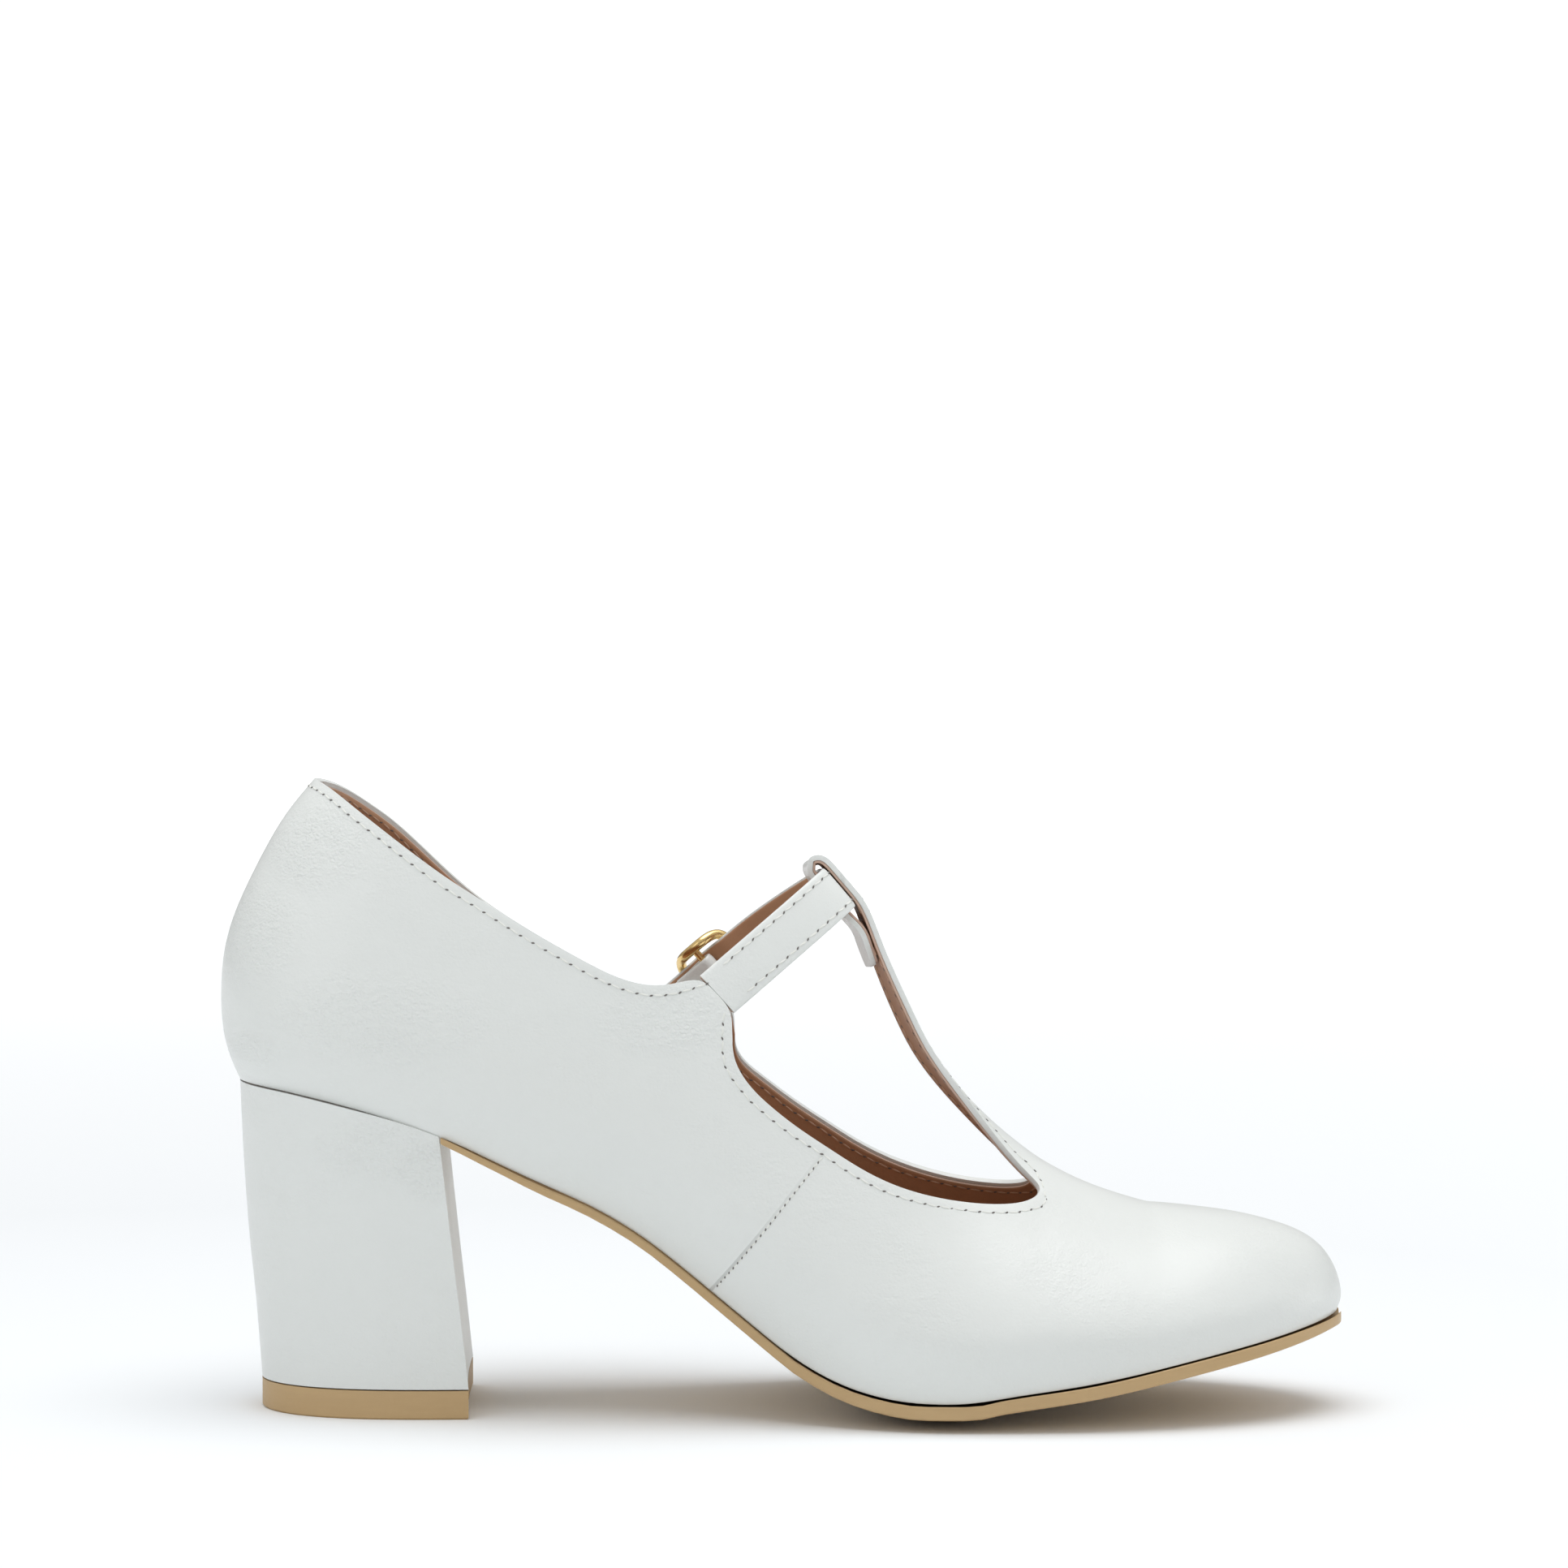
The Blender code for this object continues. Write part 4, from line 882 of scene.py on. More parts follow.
lining = linked("upper_lining", upper_leather.data.copy())
lining.data.materials.clear()
lining.data.materials.append(BROWN_LINING)
lining.data.materials.append(CUT_EDGE)
shape = bmesh.new()
shape.from_mesh(lining.data)
shape.normal_update()
rims = {v: v.normal.copy() for v in shape.verts}
pulled = []
for vert in shape.verts:
    rim_edges = [edge for edge in vert.link_edges if edge.is_boundary]
    if len(rim_edges) != 2:
        continue
    ends = [edge.other_vert(vert).co for edge in rim_edges]
    along = (ends[1] - ends[0]).normalized()
    toward = sum((face.calc_center_median() for face in vert.link_faces), Vector())
    toward = toward / len(vert.link_faces) - vert.co
    toward = toward - along * toward.dot(along)
    pulled.append((vert, toward.normalized() * min(LINING_DROP, toward.length)))
for vert, shift in pulled:
    vert.co += shift
for vert, normal in rims.items():
    vert.co -= normal * (LEATHER_WALL + LINING_GAP)
shape.to_mesh(lining.data)
shape.free()
modifier(lining, "SOLIDIFY", thickness=LINING_WALL, offset=-1, use_rim=True, material_offset_rim=1)
modifier(upper_leather, "SOLIDIFY", thickness=LEATHER_WALL, offset=-1, use_rim=True)
rounded(upper_leather, EDGE_ROUND, 3, 60)
for thing in (upper_leather, lining):
    settled(thing)
    thing.data.shade_smooth()
    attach(thing, "root")
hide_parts("upper")
lining_tree = tree_of(lining)


# Stitches: white thread laid through needle holes about 3 mm apart, one row near each
# folded edge and a closer row along the seam where the vamp laps the quarter.
# Each needle hole is drawn as a dark oval of painted shade, standing in for the shade inside the hole.
STITCH_PITCH = 3.0 * MM
STITCH_LENGTH = 2.25 * MM
STITCH_WIDTH = 0.44 * MM
STITCH_INSET = 1.9 * MM
STITCH_LIFT = 0.02 * MM
SEAM_PITCH = 1.6 * MM
SEAM_LENGTH = 1.25 * MM
SEAM_WIDTH = 0.38 * MM
SEAM_STITCH_STEP = 0.45 * MM
SEAM_POINTS = 8
SEAM_START = 0.03
SEAM_SHARE = 0.95
THREAD_TURN = math.radians(-5)
HOLE_SHADE_TURN = math.radians(24)
THREAD_HEIGHT = 0.7
HOLE_SHADE_SHARES = (1.9, 0.9, 0.4)
PATH_STEP = 0.4 * MM
BEHIND_LINING = 0.4 * MM
THREAD = Graph("white_thread").finish(base_color=rgba(0.78, 0.79, 0.75), roughness=0.7)
PINK_THREAD = Graph("pink_thread").finish(base_color=rgba(0.60, 0.40, 0.28), roughness=0.75)
# Painted shade: the dark colour of the needle holes stands in for the shade inside them.
PAINTED_HOLE_SHADE = Graph("needle_hole_painted_shade").finish(base_color=rgba(0.16, 0.15, 0.14), roughness=0.8)


def group_input(tree, name, kind, value):
    item = tree.interface.new_socket(name, in_out="INPUT", socket_type=kind)
    item.default_value = value
    return item.identifier


def stitch_tree():
    """Geometry nodes: on each point a thread along its tangent, and a dark oval of painted shade for
    the needle hole at its end.
    """
    tree = bpy.data.node_groups.new("stitch_row", "GeometryNodeTree")
    tree.interface.new_socket("Geometry", in_out="INPUT", socket_type="NodeSocketGeometry")
    names = {
        "length": group_input(tree, "Thread Length", "NodeSocketFloat", STITCH_LENGTH),
        "width": group_input(tree, "Thread Width", "NodeSocketFloat", STITCH_WIDTH),
        "pitch": group_input(tree, "Pitch", "NodeSocketFloat", STITCH_PITCH),
        "thread": group_input(tree, "Thread", "NodeSocketMaterial", THREAD),
    }
    tree.interface.new_socket("Geometry", in_out="OUTPUT", socket_type="NodeSocketGeometry")

    def add(kind, inputs=None, **settings):
        node = tree.nodes.new(kind)
        for key, value in settings.items():
            setattr(node, key, value)
        for key, value in (inputs or {}).items():
            if isinstance(value, bpy.types.NodeSocket):
                tree.links.new(value, node.inputs[key])
            else:
                node.inputs[key].default_value = value
        return node

    def attribute(name):
        return add("GeometryNodeInputNamedAttribute", {"Name": name},
                   data_type="FLOAT_VECTOR").outputs["Attribute"]

    given = add("NodeGroupInput").outputs

    def share_of(name, share):
        return add("ShaderNodeMath", {0: given[name], 1: share}, operation="MULTIPLY").outputs[0]

    points = add("GeometryNodeMeshToPoints", {"Mesh": given["Geometry"]})
    along = add("FunctionNodeAlignEulerToVector", {"Vector": attribute("tangent")}, axis="X")
    upright = add("FunctionNodeAlignEulerToVector",
                  {"Rotation": along.outputs["Rotation"], "Vector": attribute("face_normal")},
                  axis="Z", pivot_axis="X")
    joined = add("GeometryNodeJoinGeometry")
    width = "Thread Width"
    thread_size = (given["Thread Length"], given[width], share_of(width, THREAD_HEIGHT))
    # Needle hole ovals of painted shade, sized from the thread's width.
    hole_shade_size = [share_of(width, share) for share in HOLE_SHADE_SHARES]
    for size, shift, turn, finish in ((thread_size, 0.0, THREAD_TURN, given["Thread"]),
                                      (hole_shade_size, share_of("Pitch", 0.5), HOLE_SHADE_TURN, PAINTED_HOLE_SHADE)):
        ball = add("GeometryNodeMeshUVSphere", {"Segments": 8, "Rings": 5, "Radius": 0.5})
        shaped = add("GeometryNodeTransform", {
            "Geometry": ball.outputs["Mesh"],
            "Translation": add("ShaderNodeCombineXYZ", {"X": shift}).outputs[0],
            "Rotation": (0.0, 0.0, turn),
            "Scale": add("ShaderNodeCombineXYZ", dict(zip("XYZ", size))).outputs[0],
        })
        painted = add("GeometryNodeSetMaterial", {"Geometry": shaped.outputs[0], "Material": finish})
        placed = add("GeometryNodeInstanceOnPoints", {
            "Points": points.outputs[0],
            "Instance": painted.outputs[0],
            "Rotation": upright.outputs["Rotation"],
        })
        real = add("GeometryNodeRealizeInstances", {0: placed.outputs[0]})
        tree.links.new(real.outputs[0], joined.inputs[0])
    add("NodeGroupOutput", {"Geometry": joined.outputs[0]})
    return tree, names


STITCH_TREE, STITCH_INPUTS = stitch_tree()


def smooth_path(points, step=PATH_STEP):
    """Points close together on a smooth curve through the given ones."""
    dense = []
    for i in range(len(points) - 1):
        before = points[max(i - 1, 0)]
        after = points[min(i + 2, len(points) - 1)]
        a, b = points[i], points[i + 1]
        count = max(2, int((b - a).length / step))
        for k in range(count):
            t = k / count
            value = 2 * a + (b - before) * t + (2 * before - 5 * a + 4 * b - after) * t * t
            value += (3 * a - before - 3 * b + after) * t ** 3
            dense.append(value * 0.5)
    return dense + [points[-1]]


def stitch_row(name, points, tree, pitch=STITCH_PITCH, length=STITCH_LENGTH, width=STITCH_WIDTH,
               thread=THREAD):
    """Row of stitches at even steps along a path laid onto a surface."""
    dense = smooth_path(points)
    places = []
    reach = 0.0
    following = pitch / 2
    for a, b in zip(dense, dense[1:]):
        span = (b - a).length
        while span > 0 and reach + span >= following:
            places.append((a.lerp(b, (following - reach) / span), (b - a).normalized()))
            following += pitch
        reach += span
    mesh = bpy.data.meshes.new(name)
    seats = [tree.find_nearest(place) for place, _ in places]
    mesh.from_pydata([tuple(seat[0] + seat[1] * STITCH_LIFT) for seat in seats], [], [])
    ways = [way for _, way in places]
    for label, values in (("tangent", ways), ("face_normal", [seat[1] for seat in seats])):
        attribute = mesh.attributes.new(label, "FLOAT_VECTOR", "POINT")
        for item, value in zip(attribute.data, values):
            item.vector = value
    row = linked(name, mesh)
    nodes = row.modifiers.new("stitches", "NODES")
    nodes.node_group = STITCH_TREE
    for key, value in (("length", length), ("width", width), ("pitch", pitch), ("thread", thread)):
        nodes[STITCH_INPUTS[key]] = value
    settled(row)
    row.data.shade_smooth()
    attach(row, "root")


def inset_row(heads, inward):
    """Points a stitch's inset from an edge, over the skin and square to the edge."""
    points = []
    for i, head in enumerate(heads):
        ahead = (heads[min(i + 1, len(heads) - 1)] - heads[max(i - 1, 0)]).normalized()
        normal = outer_tree.find_nearest(head.lerp(inward[i], 0.2))[1]
        way = normal.cross(ahead).normalized()
        if way.dot(inward[i] - head) < 0:
            way = -way
        points.append(head + way * STITCH_INSET)
    return points


def inside_of(points):
    """The same points on the lining's face inside the shoe."""
    moved = []
    for point in points:
        place, normal = outer_tree.find_nearest(point)[:2]
        moved.append(place - normal * (LEATHER_WALL + LINING_WALL + BEHIND_LINING))
    return moved


# Rows of COLLAR at the top, middle and foot of the seam that holds the instep strap.
STRAP_SEAM = (8, 9, 10)
seam_top, _, seam_foot = (HEEL_COLUMNS + row for row in STRAP_SEAM)
t_strap_rows = strips[4][1:len(T_LINE) + 2]
for side, strip in ((MEDIAL, strips[0]), (LATERAL, strips[2])):
    columns = strip[:HEEL_COLUMNS + len(COLLAR) + len(THROAT) - 1]
    heads = [column[-1] for column in columns]
    inward = [column[-2] for column in columns]
    edge = 0 if side == MEDIAL else -1
    collar = inset_row(heads[:seam_top + 1], inward[:seam_top + 1])
    throat = inset_row(heads[seam_foot:] + [row[edge] for row in t_strap_rows],
                       inward[seam_foot:] + [row[TOP_ROWS] for row in t_strap_rows])
    for name, path in (("collar", collar), ("throat", throat)):
        label = name + "_stitches_" + side_name(side)
        stitch_row(label, path, outer_tree)
        stitch_row(label + "_inside", inside_of(path), lining_tree, thread=PINK_THREAD)


def seam_points(side):
    """Points along the vamp's lap, a little in front of its edge."""
    points = []
    for k in range(SEAM_POINTS + 1):
        share = SEAM_START + SEAM_SHARE * k / SEAM_POINTS
        x = mix(SEAM_TOP_XZ[0], SEAM_FOOT_XZ[0], share) + SEAM_STITCH_STEP
        z = mix(SEAM_TOP_XZ[1], SEAM_FOOT_XZ[1], share)
        points.append(Vector((x, side * width_at(side, x, z - bed(x)), z)))
    return points


for side in (MEDIAL, LATERAL):
    stitch_row("vamp_seam_stitches_" + side_name(side), seam_points(side), outer_tree,
               pitch=SEAM_PITCH, length=SEAM_LENGTH, width=SEAM_WIDTH)


# Insole: a brown leather sock glued on the insole board, from the seat to the toe. It
# lies inside the upper's wall and follows the last's bed.
# Painted light: the sock is a darker copy of the lining's brown, because light from above falls on it
# and not on the shaded lining.
SOCK = rgba(0.38, 0.205, 0.115)
SOCK_DARK = rgba(0.29, 0.150, 0.082)
INSOLE_THICKNESS = 2.2 * MM
INSOLE_ROUND = 0.4 * MM
SEAT_STATIONS = 16
FRONT_STATIONS = 50
FRONT_EVEN = 0.3
SOLE_ACROSS = 16
TIP_TRIM = 0.25 * MM


def across_row(x, ledge, height):
    """Row of points from edge to edge of the sole; height takes the share from the middle out."""
    row = []
    for j in range(SOLE_ACROSS + 1):
        share = 2 * j / SOLE_ACROSS - 1
        y = share * feather(MEDIAL if share < 0 else LATERAL, x, ledge)
        row.append(height(y, abs(share)))
    return row


def plate(name, finish, tops, bottoms):
    """Closed sheet between two grids of points."""
    skin = Skin()
    skin.rows(tops)
    skin.rows(bottoms)
    edges = [(tops[0], bottoms[0]), (tops[-1], bottoms[-1])]
    edges.append(([row[0] for row in tops], [row[0] for row in bottoms]))
    edges.append(([row[-1] for row in tops], [row[-1] for row in bottoms]))
    for high, low in edges:
        skin.rows([high, low])
    return skin.build(name, finish)


inset = WALL + 2 * GAP
seat_back = X_SEAT_BACK + inset
front = X_TIP - inset - TIP_TRIM
seat_turns = [math.pi / 2 * k / SEAT_STATIONS for k in range(SEAT_STATIONS, 0, -1)]
stations = [mix(X_SEAT, seat_back, math.sin(turn)) for turn in seat_turns]
stations[0] = mix(seat_back, X_SEAT, 0.002)
for k in range(FRONT_STATIONS + 1):
    turn = math.pi / 2 * k / FRONT_STATIONS
    share = math.sin(turn) * (1 - FRONT_EVEN) + FRONT_EVEN * k / FRONT_STATIONS
    stations.append(mix(X_SEAT, front, share))
tops, lows = ([across_row(x, -inset, lambda y, share: Vector((x, y, bed(x, share) + lift)))
               for x in stations] for lift in (GAP + INSOLE_THICKNESS, GAP))
insole = plate("insole_sock", lining_leather("brown_sock_look", SOCK_DARK, SOCK), tops, lows)
rounded(insole, INSOLE_ROUND, 2, 50)
settled(insole)
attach(insole, "root")
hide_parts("insole")


# Outsole: tan resin sheet cut to the last's outline, its edge trimmed and burnished,
# bent from the heel breast down the arch to the ball and up to the toe.
TAN = rgba(0.575, 0.40, 0.20)
TAN_DARK = rgba(0.475, 0.32, 0.155)
SOLE_STATIONS = 60
SOLE_EVEN = 0.28
BREAST_SKEW_POWER = 6
SOLE_LEDGE = 0.8 * MM
SOLE_ROUND = 0.45 * MM
LIFT_LENGTH = 45.0 * MM
HEEL_TURN = math.radians(2.6)


def tan_resin(name):
    graph = Graph(name)
    streak = graph.noise(40.0, 5.0, 0.65, stretch=(1.0, 1.0, 9.0))
    speck = graph.noise(900.0, 2.0, 0.5)
    colour = graph.blend(streak, TAN_DARK, TAN)
    colour = graph.blend(speck * 0.25, colour, TAN_DARK)
    normal = graph.bump(streak * 0.6 + speck * 0.4, 0.25, 0.00025)
    return graph.finish(base_color=colour, roughness=0.42 + speck * 0.15, normal=normal)


def sole_grid(height, ledge, back, front, skew):
    """Grid over the sole from the heel's breast, turned by the skew, to the tip."""
    rows = []
    for i in range(SOLE_STATIONS + 1):
        share = i / SOLE_STATIONS
        x = mix(back, front, math.sin(share * math.pi / 2) * (1 - SOLE_EVEN) + SOLE_EVEN * share)

        def point(y, out):
            shifted = x - skew * y * (1 - share) ** BREAST_SKEW_POWER
            return Vector((shifted, y, height(shifted, out)))

        rows.append(across_row(x, ledge, point))
    return rows


# Heel block: rise is a share of its height, back and breast are shares of
# LIFT_LENGTH from the axis, medial and lateral shares of LIFT_WIDTH.
HEEL = table("rise back breast medial lateral", [
    (0.00, -0.504, 0.478, 0.500, 0.500),
    (0.25, -0.530, 0.447, 0.512, 0.512),
    (0.50, -0.563, 0.413, 0.530, 0.530),
    (0.75, -0.586, 0.380, 0.556, 0.556),
    (1.00, -0.600, 0.347, 0.583, 0.583),
])

breast = HEEL[-1].breast * LIFT_LENGTH / math.cos(HEEL_TURN) + GAP
sole_sizes = (SOLE_LEDGE, breast, X_TIP + SOLE_LEDGE - TIP_TRIM, math.tan(HEEL_TURN))
outsole = plate("outsole_sheet", tan_resin("tan_resin_look"), sole_grid(bed, *sole_sizes),
                sole_grid(sole_bottom, *sole_sizes))
rounded(outsole, SOLE_ROUND, 3, 50)
settled(outsole)
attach(outsole, "root")
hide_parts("outsole")


# Heel: a block covered in the upper's leather, its cover closed by a seam down the
# breast, standing on a tan rubber top lift nailed under it. The lift's levels lie
# below the heel's own, so their shares are negative.
LIFT_HEIGHT = 6.0 * MM
LIFT_CHAMFER = 0.4 * MM
LIFT_WIDTH = 46.0 * MM
LIFT_SHIFT = 2.0 * MM
BREAST_HOLLOW = 0.5 * MM
HEEL_SIDE_STEPS = 40
HEEL_ACROSS = 20
HEEL_LEVELS = 30
HEEL_ROUND = 0.8 * MM
LIFT_ROUND = 0.15 * MM
HEEL_PATCHES = table("x z reach_x reach_z", [
    (4.6 * MM, 57.5 * MM, 15 * MM, 9 * MM),
    (15.0 * MM, 52.0 * MM, 7 * MM, 8 * MM),
])


def heel_ring(share, inset=0.0):
    """Rows across the heel from its back to its breast, at a share of its rise."""
    back = follow(HEEL, "back", share, key="rise") * LIFT_LENGTH + inset
    breast = follow(HEEL, "breast", share, key="rise") * LIFT_LENGTH - inset
    pairs = []
    for k in range(HEEL_SIDE_STEPS + 1):
        angle = k / HEEL_SIDE_STEPS * math.pi / 2
        forward = breast - (breast - back) * max(math.cos(angle), 0.0) ** (2 / SEAT_POWER)
        pair = []
        for side in (MEDIAL, LATERAL):
            half = follow(HEEL, side_name(side), share, key="rise") * LIFT_WIDTH - inset
            beside = side * half * math.sin(angle) + LIFT_SHIFT * (1 - share)
            pair.append((forward, beside))
        pairs.append(pair)
    rows = []
    for k, (near, far) in enumerate(pairs):
        row = []
        for j in range(HEEL_ACROSS + 1):
            place = j / HEEL_ACROSS
            forward = mix(near[0], far[0], place)
            if k == HEEL_SIDE_STEPS:
                forward -= BREAST_HOLLOW * 4 * place * (1 - place)
            beside = mix(near[1], far[1], place)
            x = forward * math.cos(HEEL_TURN) - beside * math.sin(HEEL_TURN)
            y = beside * math.cos(HEEL_TURN) + forward * math.sin(HEEL_TURN)
            row.append((x, y))
        rows.append(row)
    return rows


def heel_solid(name, finish, levels, height, rounding):
    """Solid between heel outlines: levels are shares of the heel's rise with their insets."""
    grids = []
    for level, inset in levels:
        rows = heel_ring(max(level, 0.0), inset)
        grids.append([[Vector((x, y, height(level, x))) for x, y in row] for row in rows])
    skin = Skin()
    skin.rows(grids[0])
    skin.rows(grids[-1])
    for low, high in zip(grids, grids[1:]):
        skin.rows([[row[0] for row in low], [row[0] for row in high]])
        skin.rows([[row[-1] for row in low], [row[-1] for row in high]])
        skin.rows([low[-1], high[-1]])
    thing = skin.build(name, finish)
    rounded(thing, rounding, 4, 40)
    return settled(thing)


heel_base = LIFT_HEIGHT + GAP
heel = heel_solid("heel_block", leather("heel_cover_look", 1.1, breast=True, patches=HEEL_PATCHES),
                  [(k / HEEL_LEVELS, 0.0) for k in range(HEEL_LEVELS + 1)],
                  lambda level, x: mix(heel_base, bed(x), level), HEEL_ROUND)
heel.data.shade_smooth()
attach(heel, "root")
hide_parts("heel")
lift_heights = {-2.0: 0.0, -1.0: LIFT_CHAMFER, 0.0: LIFT_HEIGHT}
lift = heel_solid("top_lift_rubber", tan_resin("tan_lift_look"),
                  [(-2.0, LIFT_CHAMFER), (-1.0, 0.0), (0.0, 0.0)],
                  lambda level, x: lift_heights[level], LIFT_ROUND)
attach(lift, "root")
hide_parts("top_lift")


# Instep strap: white leather folded over its lining, butt-sewn to the inner quarter,
# run through the loop and over the instep to the buckle on the outer side.
STRAP_TIP = 22.0 * MM
STRAP_LEAD = 10.0 * MM
STRAP_SINK = 1.2 * MM
STRAP_LOW = 1.5 * MM
STRAP_RING = 20
RING_WIDTH_POWER = 0.28
RING_DEPTH_POWER = 0.7
TIP_BLUNT = 0.3
STRAP_SPLIT = -0.25 * MM
LINING_TOP = -0.28 * MM
LINING_NARROW = 0.35 * MM
STITCH_TO_EDGE = 1.5 * MM
SEAM_CLEAR = 0.12 * MM
RIDGE_FLAT = 6.4 * MM
RIDGE_BEND = 6.0 * MM
SLOPE_REACH = 1.0 * MM
ANCHOR_ALONG = 0.411
ANCHOR_DROP = 2.0 * MM
ANCHOR_REACH = 9.0 * MM
HANG = Vector((-0.67, 0.49, -0.553))
BUCKLE_LENGTH = 15.0 * MM
BUCKLE_WIRE = 2.2 * MM
BAR_WIRE = 1.6 * MM
FRAME_CLEAR = 2.0 * MM
TAB_THICKNESS = 1.0 * MM
# Steps of the strap's path: seam to loop, in the loop, loop to frame, in the frame, tip.
NEAR_STEPS, RIDGE_STEPS, FAR_STEPS, BUCKLE_STEPS, TIP_STEPS = 45, 6, 57, 40, 24
SEAM_STEPS = 9
ROUND_STEPS = 14


def surface(side, along, z):
    x = x_at(along)
    return Vector((x, side * width_at(side, x, z - GAP - bed(x)), z))


def surface_normal(side, along, z):
    here = surface(side, along, z)
    ahead = surface(side, along + SLOPE_REACH / SHOE_LENGTH, z) - here
    above = surface(side, along, z + SLOPE_REACH) - here
    out = ahead.cross(above)
    return (out if out.y * side > 0 else -out).normalized()


SEAM_ROW = COLLAR[STRAP_SEAM[1]]
SEAM_TOP, SEAM_MIDDLE, SEAM_FOOT = (side_column(MEDIAL, COLLAR[row], BACK_HEIGHT)[-1]
                                    for row in STRAP_SEAM)
ANCHOR_Z = side_column(LATERAL, SEAM_ROW, BACK_HEIGHT)[-1].z - ANCHOR_DROP
ANCHOR = surface(LATERAL, ANCHOR_ALONG, ANCHOR_Z)
OUT = surface_normal(LATERAL, ANCHOR_ALONG, ANCHOR_Z)
DOWN = (HANG - OUT * HANG.dot(OUT)).normalized()
ACROSS = OUT.cross(DOWN).normalized()
TAB_RADIUS = BAR_WIRE / 2 + GAP + TAB_THICKNESS / 2
BAR = ANCHOR - DOWN * ANCHOR_REACH + OUT * (TAB_RADIUS + TAB_THICKNESS / 2 + GAP)
STRAP_HIGH = TAB_RADIUS + TAB_THICKNESS / 2 + GAP + STRAP_THICKNESS / 2
FRAME_REACH = (BUCKLE_LENGTH - BUCKLE_WIRE) / 2


def at_buckle(down, out, across=0.0):
    return BAR + DOWN * down + OUT * out + ACROSS * across


def bezier(points, t):
    while len(points) > 1:
        points = [a.lerp(b, t) for a, b in zip(points, points[1:])]
    return points[0]


def strap_over_bar(down):
    """Height of the strap's middle: high over the bar, low under the frame."""
    share = min(abs(down) / FRAME_REACH, 1.0)
    return mix(STRAP_LOW, STRAP_HIGH, math.cos(share * math.pi / 2) ** 2)


def strap_path():
    """Places, outward normals, across directions and half widths along the strap."""
    across = across_of(LOOP_OUT, T_LINE[-1].twist * T_TILT, False)
    seam_out = surface_normal(MEDIAL, SEAM_ROW.along, SEAM_MIDDLE.z)
    start = SEAM_MIDDLE - seam_out * STRAP_THICKNESS / 2
    seam_across = (SEAM_FOOT - SEAM_TOP).normalized()
    way = seam_out.cross(seam_across)
    way = way if way.x > 0 else -way
    start = start + way * SEAM_CLEAR
    near = LOOP_MIDDLE - across * RIDGE_FLAT
    far = LOOP_MIDDLE + across * RIDGE_FLAT
    meet = at_buckle(-FRAME_REACH - FRAME_CLEAR, STRAP_LOW)
    shares = [k / NEAR_STEPS for k in range(NEAR_STEPS)]
    path = [bezier([start, near - across * RIDGE_BEND, near], share) for share in shares]
    normals = [seam_out.lerp(LOOP_OUT, (ease(share) + share) / 2) for share in shares]
    path += [near.lerp(far, k / RIDGE_STEPS) for k in range(RIDGE_STEPS)]
    normals += [LOOP_OUT.copy() for _ in range(RIDGE_STEPS)]
    lateral = [far, far + across * RIDGE_BEND, meet - DOWN * STRAP_LEAD, meet]
    shares = [k / FAR_STEPS for k in range(FAR_STEPS)]
    path += [bezier(lateral, share) for share in shares]
    normals += [LOOP_OUT.lerp(OUT, ease(share)) for share in shares]
    low = -FRAME_REACH - FRAME_CLEAR
    downs = [mix(low, -low, k / BUCKLE_STEPS) for k in range(BUCKLE_STEPS + 1)]
    downs += [mix(-low, STRAP_TIP, k / TIP_STEPS) for k in range(1, TIP_STEPS + 1)]
    for down in downs:
        sink = ease((down + low) / (STRAP_TIP + low)) * STRAP_SINK
        path.append(at_buckle(down, strap_over_bar(down) - sink))
        normals.append(OUT.copy())
    stations = []
    for k, place in enumerate(path):
        ahead = (path[min(k + 1, len(path) - 1)] - path[max(k - 1, 0)]).normalized()
        out = (normals[k] - ahead * normals[k].dot(ahead)).normalized()
        beside = out.cross(ahead)
        if k < SEAM_STEPS:
            turned = seam_across * (1 if beside.dot(seam_across) > 0 else -1)
            beside = beside.lerp(turned, 1 - k / SEAM_STEPS).normalized()
        to_tip = (len(path) - 1 - k) / ROUND_STEPS
        half = STRAP_WIDTH / 2
        if to_tip < 1:
            half *= math.sqrt(1 - (1 - to_tip) ** 2) * (1 - TIP_BLUNT) + TIP_BLUNT
        stations.append((place, out, beside, half))
    return stations


def bulge(value, power):
    """A power that keeps the sign, for rounded oblong outlines."""
    return math.copysign(abs(value) ** power, value)


def strap_ring(station, low, high, narrow=0.0):
    """Rounded section of a strap between two heights over its middle."""
    place, out, beside, half = station
    middle, depth = (low + high) / 2, (high - low) / 2
    ring = []
    for k in range(STRAP_RING):
        angle = 2 * math.pi * k / STRAP_RING
        width = bulge(math.cos(angle), RING_WIDTH_POWER) * (half - narrow)
        height = bulge(math.sin(angle), RING_DEPTH_POWER) * depth
        ring.append(place + beside * width + out * (middle + height))
    return ring + ring[:1]


def tube(name, finish, rings):
    """Closed skin over rings of points, each ring ending where it began."""
    skin = Skin()
    skin.rows(rings)
    skin.face(rings[0][:-1])
    skin.face(rings[-1][:-1])
    return skin.build(name, finish)


stations = strap_path()
strap_looks = leather("strap_leather_look", 0.8)
half_thick = STRAP_THICKNESS / 2
LAYERS = [
    ("instep_strap_leather", STRAP_SPLIT, half_thick, 0.0, strap_looks),
    ("instep_strap_lining", -half_thick, LINING_TOP, LINING_NARROW, BROWN_LINING),
]
for name, low, high, narrow, look in LAYERS:
    piece = tube(name, look, [strap_ring(station, low, high, narrow) for station in stations])
    sharpen(piece.data, 60)
    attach(piece, "root")
    if "lining" not in name:
        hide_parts("instep_strap")
        strap_tree = tree_of(piece)
for sign, name in ((-1, "rear"), (1, "front")):
    row = []
    for place, out, beside, half in stations[3:-8:6]:
        row.append(place + out * half_thick + beside * sign * (half - STITCH_TO_EDGE))
    stitch_row("strap_stitches_" + name, row, strap_tree)


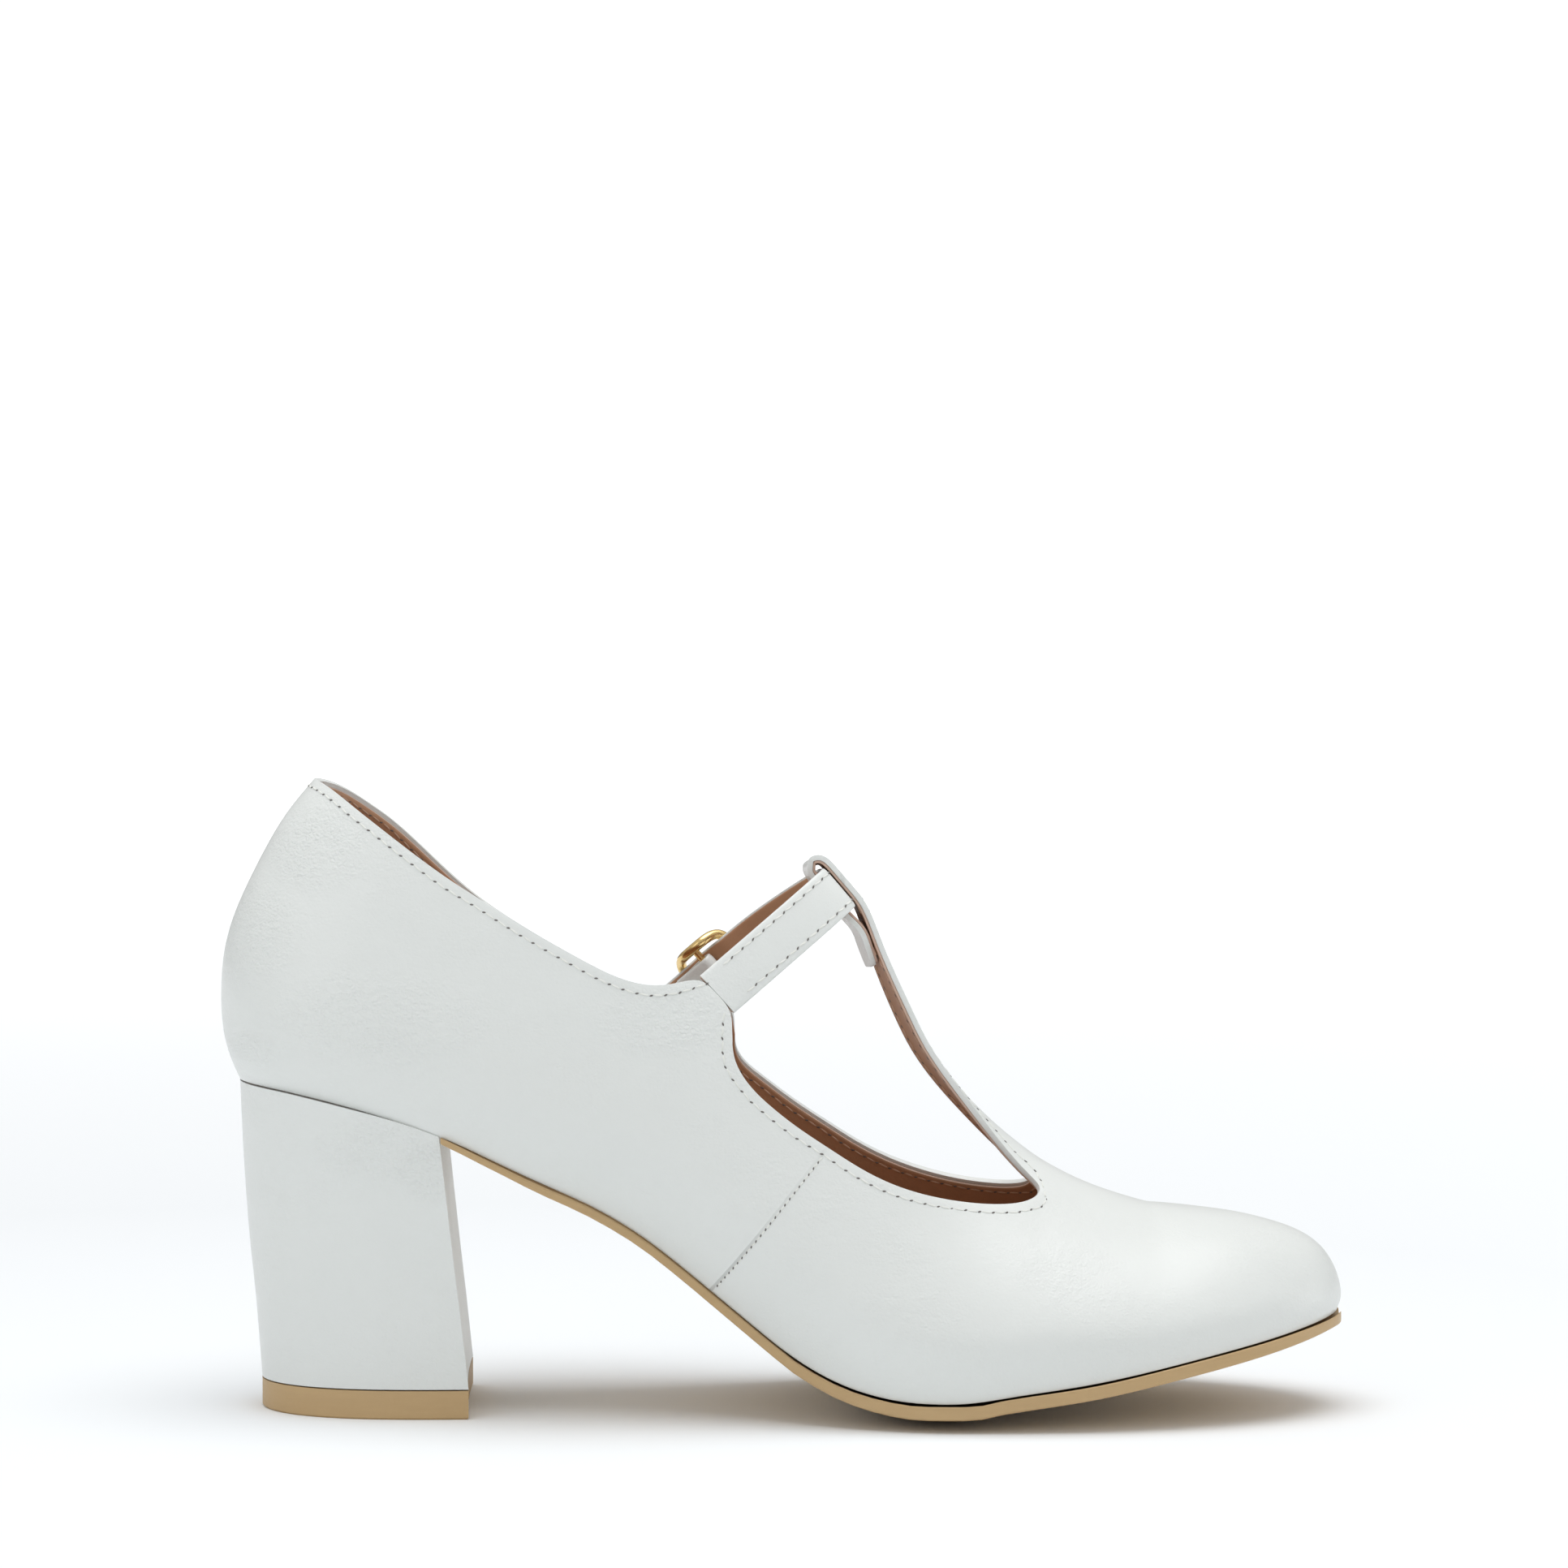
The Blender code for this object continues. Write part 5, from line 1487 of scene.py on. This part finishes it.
# Buckle: a gold oval frame with a bar, its prong through the strap, and the leather
# tab that holds it, folded round the bar and sewn on the outer quarter.
BUCKLE_WIDTH = 17.2 * MM
FRAME_HALF = (BUCKLE_WIDTH - BUCKLE_WIRE) / 2
FRAME_RISE = STRAP_LOW + STRAP_THICKNESS / 2 + GAP + BUCKLE_WIRE / 2
FRAME_POWER = 0.56
PRONG_WIRE = 1.1 * MM
PRONG_BACK = 2.9 * MM
TAB_WIDTH = 9.0 * MM
TAB_LENGTH = 16.0 * MM
FRAME_STEPS = 120
FRAME_DIP_POWER = 6
FOLD_STEPS = 16
HOOK_STEPS = 6
PRONG_OVER = 1.45
PRONG_FALL = 1.86
PRONG_REST = 0.78
# Prong on its way up through the strap: shares of PRONG_BACK and of STRAP_HIGH. It
# lies over the strap at PRONG_OVER, falls at PRONG_FALL and rests on the frame.
PRONG = [(0.83, 0.50), (1.00, 0.94), (1.17, 1.31)]
# The tab's layers before and behind its fold: places along DOWN and OUT, then its
# outward normal along DOWN and OUT.
TAB_START = [(down, -TAB_RADIUS, 0, 1) for down in (TAB_LENGTH, 9 * MM, 3 * MM)]
TAB_END = [
    (2.0 * MM, 1.15 * MM, -0.4, -0.9),
    (3.4 * MM, 0.35 * MM, -0.5, -0.85),
    (5.0 * MM, -0.3 * MM, -0.2, -1),
    (7.5 * MM, -0.3 * MM, 0, -1),
]
GOLD = Graph("polished_gold")
gold_look = GOLD.finish(base_color=rgba(0.83, 0.60, 0.27), metallic=1.0,
                        roughness=0.16 + GOLD.noise(300.0, 3.0, 0.6) * 0.12)


def wire(name, finish, path, radius, sides=16, closed=False):
    """Round wire along a path, closed in a loop or capped at its ends."""
    rings = []
    count = len(path)
    up = None
    for i, place in enumerate(path):
        before = path[i - 1] if closed or i > 0 else place
        after = path[(i + 1) % count] if closed or i < count - 1 else place
        ahead = (after - before).normalized()
        up = ahead.orthogonal() if up is None else up
        up = (up - ahead * up.dot(ahead)).normalized()
        beside = ahead.cross(up)
        ring = [place + (up * math.cos(a) + beside * math.sin(a)) * radius
                for a in (2 * math.pi * k / sides for k in range(sides))]
        rings.append(ring)
    if closed:
        nearest = min(range(sides), key=lambda k: (rings[0][k] - rings[-1][0]).length)
        rings.append([rings[0][(nearest + k) % sides] for k in range(sides)])
    rings = [ring + ring[:1] for ring in rings]
    if closed:
        skin = Skin()
        skin.rows(rings)
        thing = skin.build(name, finish)
    else:
        thing = tube(name, finish, rings)
    thing.data.shade_smooth()
    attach(thing, "root")
    return thing


frame_path = []
for k in range(FRAME_STEPS):
    angle = 2 * math.pi * k / FRAME_STEPS
    down, across = bulge(math.cos(angle), FRAME_POWER), bulge(math.sin(angle), FRAME_POWER)
    rise = FRAME_RISE * (1 - math.sin(angle) ** FRAME_DIP_POWER)
    frame_path.append(at_buckle(FRAME_REACH * down, rise, FRAME_HALF * across))
buckle = wire("gold_frame", gold_look, frame_path, BUCKLE_WIRE / 2, closed=True)
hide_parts("buckle_frame")
bar_ends = [at_buckle(0, 0, FRAME_HALF * share) for share in (-1.0, -0.5, 0.0, 0.5, 1.0)]
wire("gold_bar", gold_look, bar_ends, BAR_WIRE / 2)
hook = BAR_WIRE / 2 + GAP + PRONG_WIRE / 2
top = STRAP_HIGH + STRAP_THICKNESS / 2 + GAP + PRONG_WIRE / 2
rest = FRAME_RISE + BUCKLE_WIRE / 2 + GAP + PRONG_WIRE / 2
path = [at_buckle(hook * math.cos(a), hook * math.sin(a)) for a in
        (math.radians(-20 - 160 * k / HOOK_STEPS) for k in range(HOOK_STEPS + 1))]
path += [at_buckle(-PRONG_BACK * back, STRAP_HIGH * rise) for back, rise in PRONG]
path.append(at_buckle(-PRONG_OVER * PRONG_BACK, top))
path.append(at_buckle(-PRONG_FALL * PRONG_BACK, mix(top, rest, 0.6)))
path.append(at_buckle(-FRAME_REACH - PRONG_REST * BUCKLE_WIRE, rest))
prong = wire("gold_prong", gold_look, smooth_path(path), PRONG_WIRE / 2)
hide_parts("buckle_prong")

fold = []
for k in range(FOLD_STEPS + 1):
    angle = math.radians(90 + 180 * k / FOLD_STEPS)
    back, up = math.cos(angle), math.sin(angle)
    fold.append((back * TAB_RADIUS, -up * TAB_RADIUS, -back, up))
rings = []
for down, out, lean, face in TAB_START + fold + TAB_END:
    normal = (OUT * face + DOWN * lean).normalized()
    station = (at_buckle(down, out), normal, ACROSS, TAB_WIDTH / 2)
    rings.append(strap_ring(station, -TAB_THICKNESS / 2, TAB_THICKNESS / 2))
tab = tube("buckle_tab_leather", strap_looks, rings)
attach(tab, "root")
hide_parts("buckle_tab")


# Floor: a plain white sweep that carries the soft shadow under heel and forepart. It
# glows more with distance, so that its far end meets the white backdrop.
SWEEP_NEAR = 0.35
SWEEP_FAR = 2.2
SWEEP_HALF = 6
SWEEP_GLOW = 0.8
floor_mesh = bpy.data.meshes.new("floor")
corners = [(x * SWEEP_HALF, y * SWEEP_HALF, 0) for x, y in ((-1, -1), (1, -1), (1, 1), (-1, 1))]
floor_mesh.from_pydata(corners, [], [(0, 1, 2, 3)])
floor = linked("floor", floor_mesh)
sweep = Graph("white_sweep")
distance = sweep.node("ShaderNodeVectorMath", {"operation": "LENGTH"}, {0: sweep.place()}, 1)
fade = ((distance - SWEEP_NEAR) / (SWEEP_FAR - SWEEP_NEAR)).op("MAXIMUM", 0.0).op("MINIMUM", 1.0)
glow = sweep.blend(fade, rgba(0, 0, 0), rgba(1, 1, 1))
floor_mesh.materials.append(sweep.finish(base_color=rgba(0.905, 0.93, 0.95), roughness=0.9,
                                         emission_color=glow, emission_strength=SWEEP_GLOW))
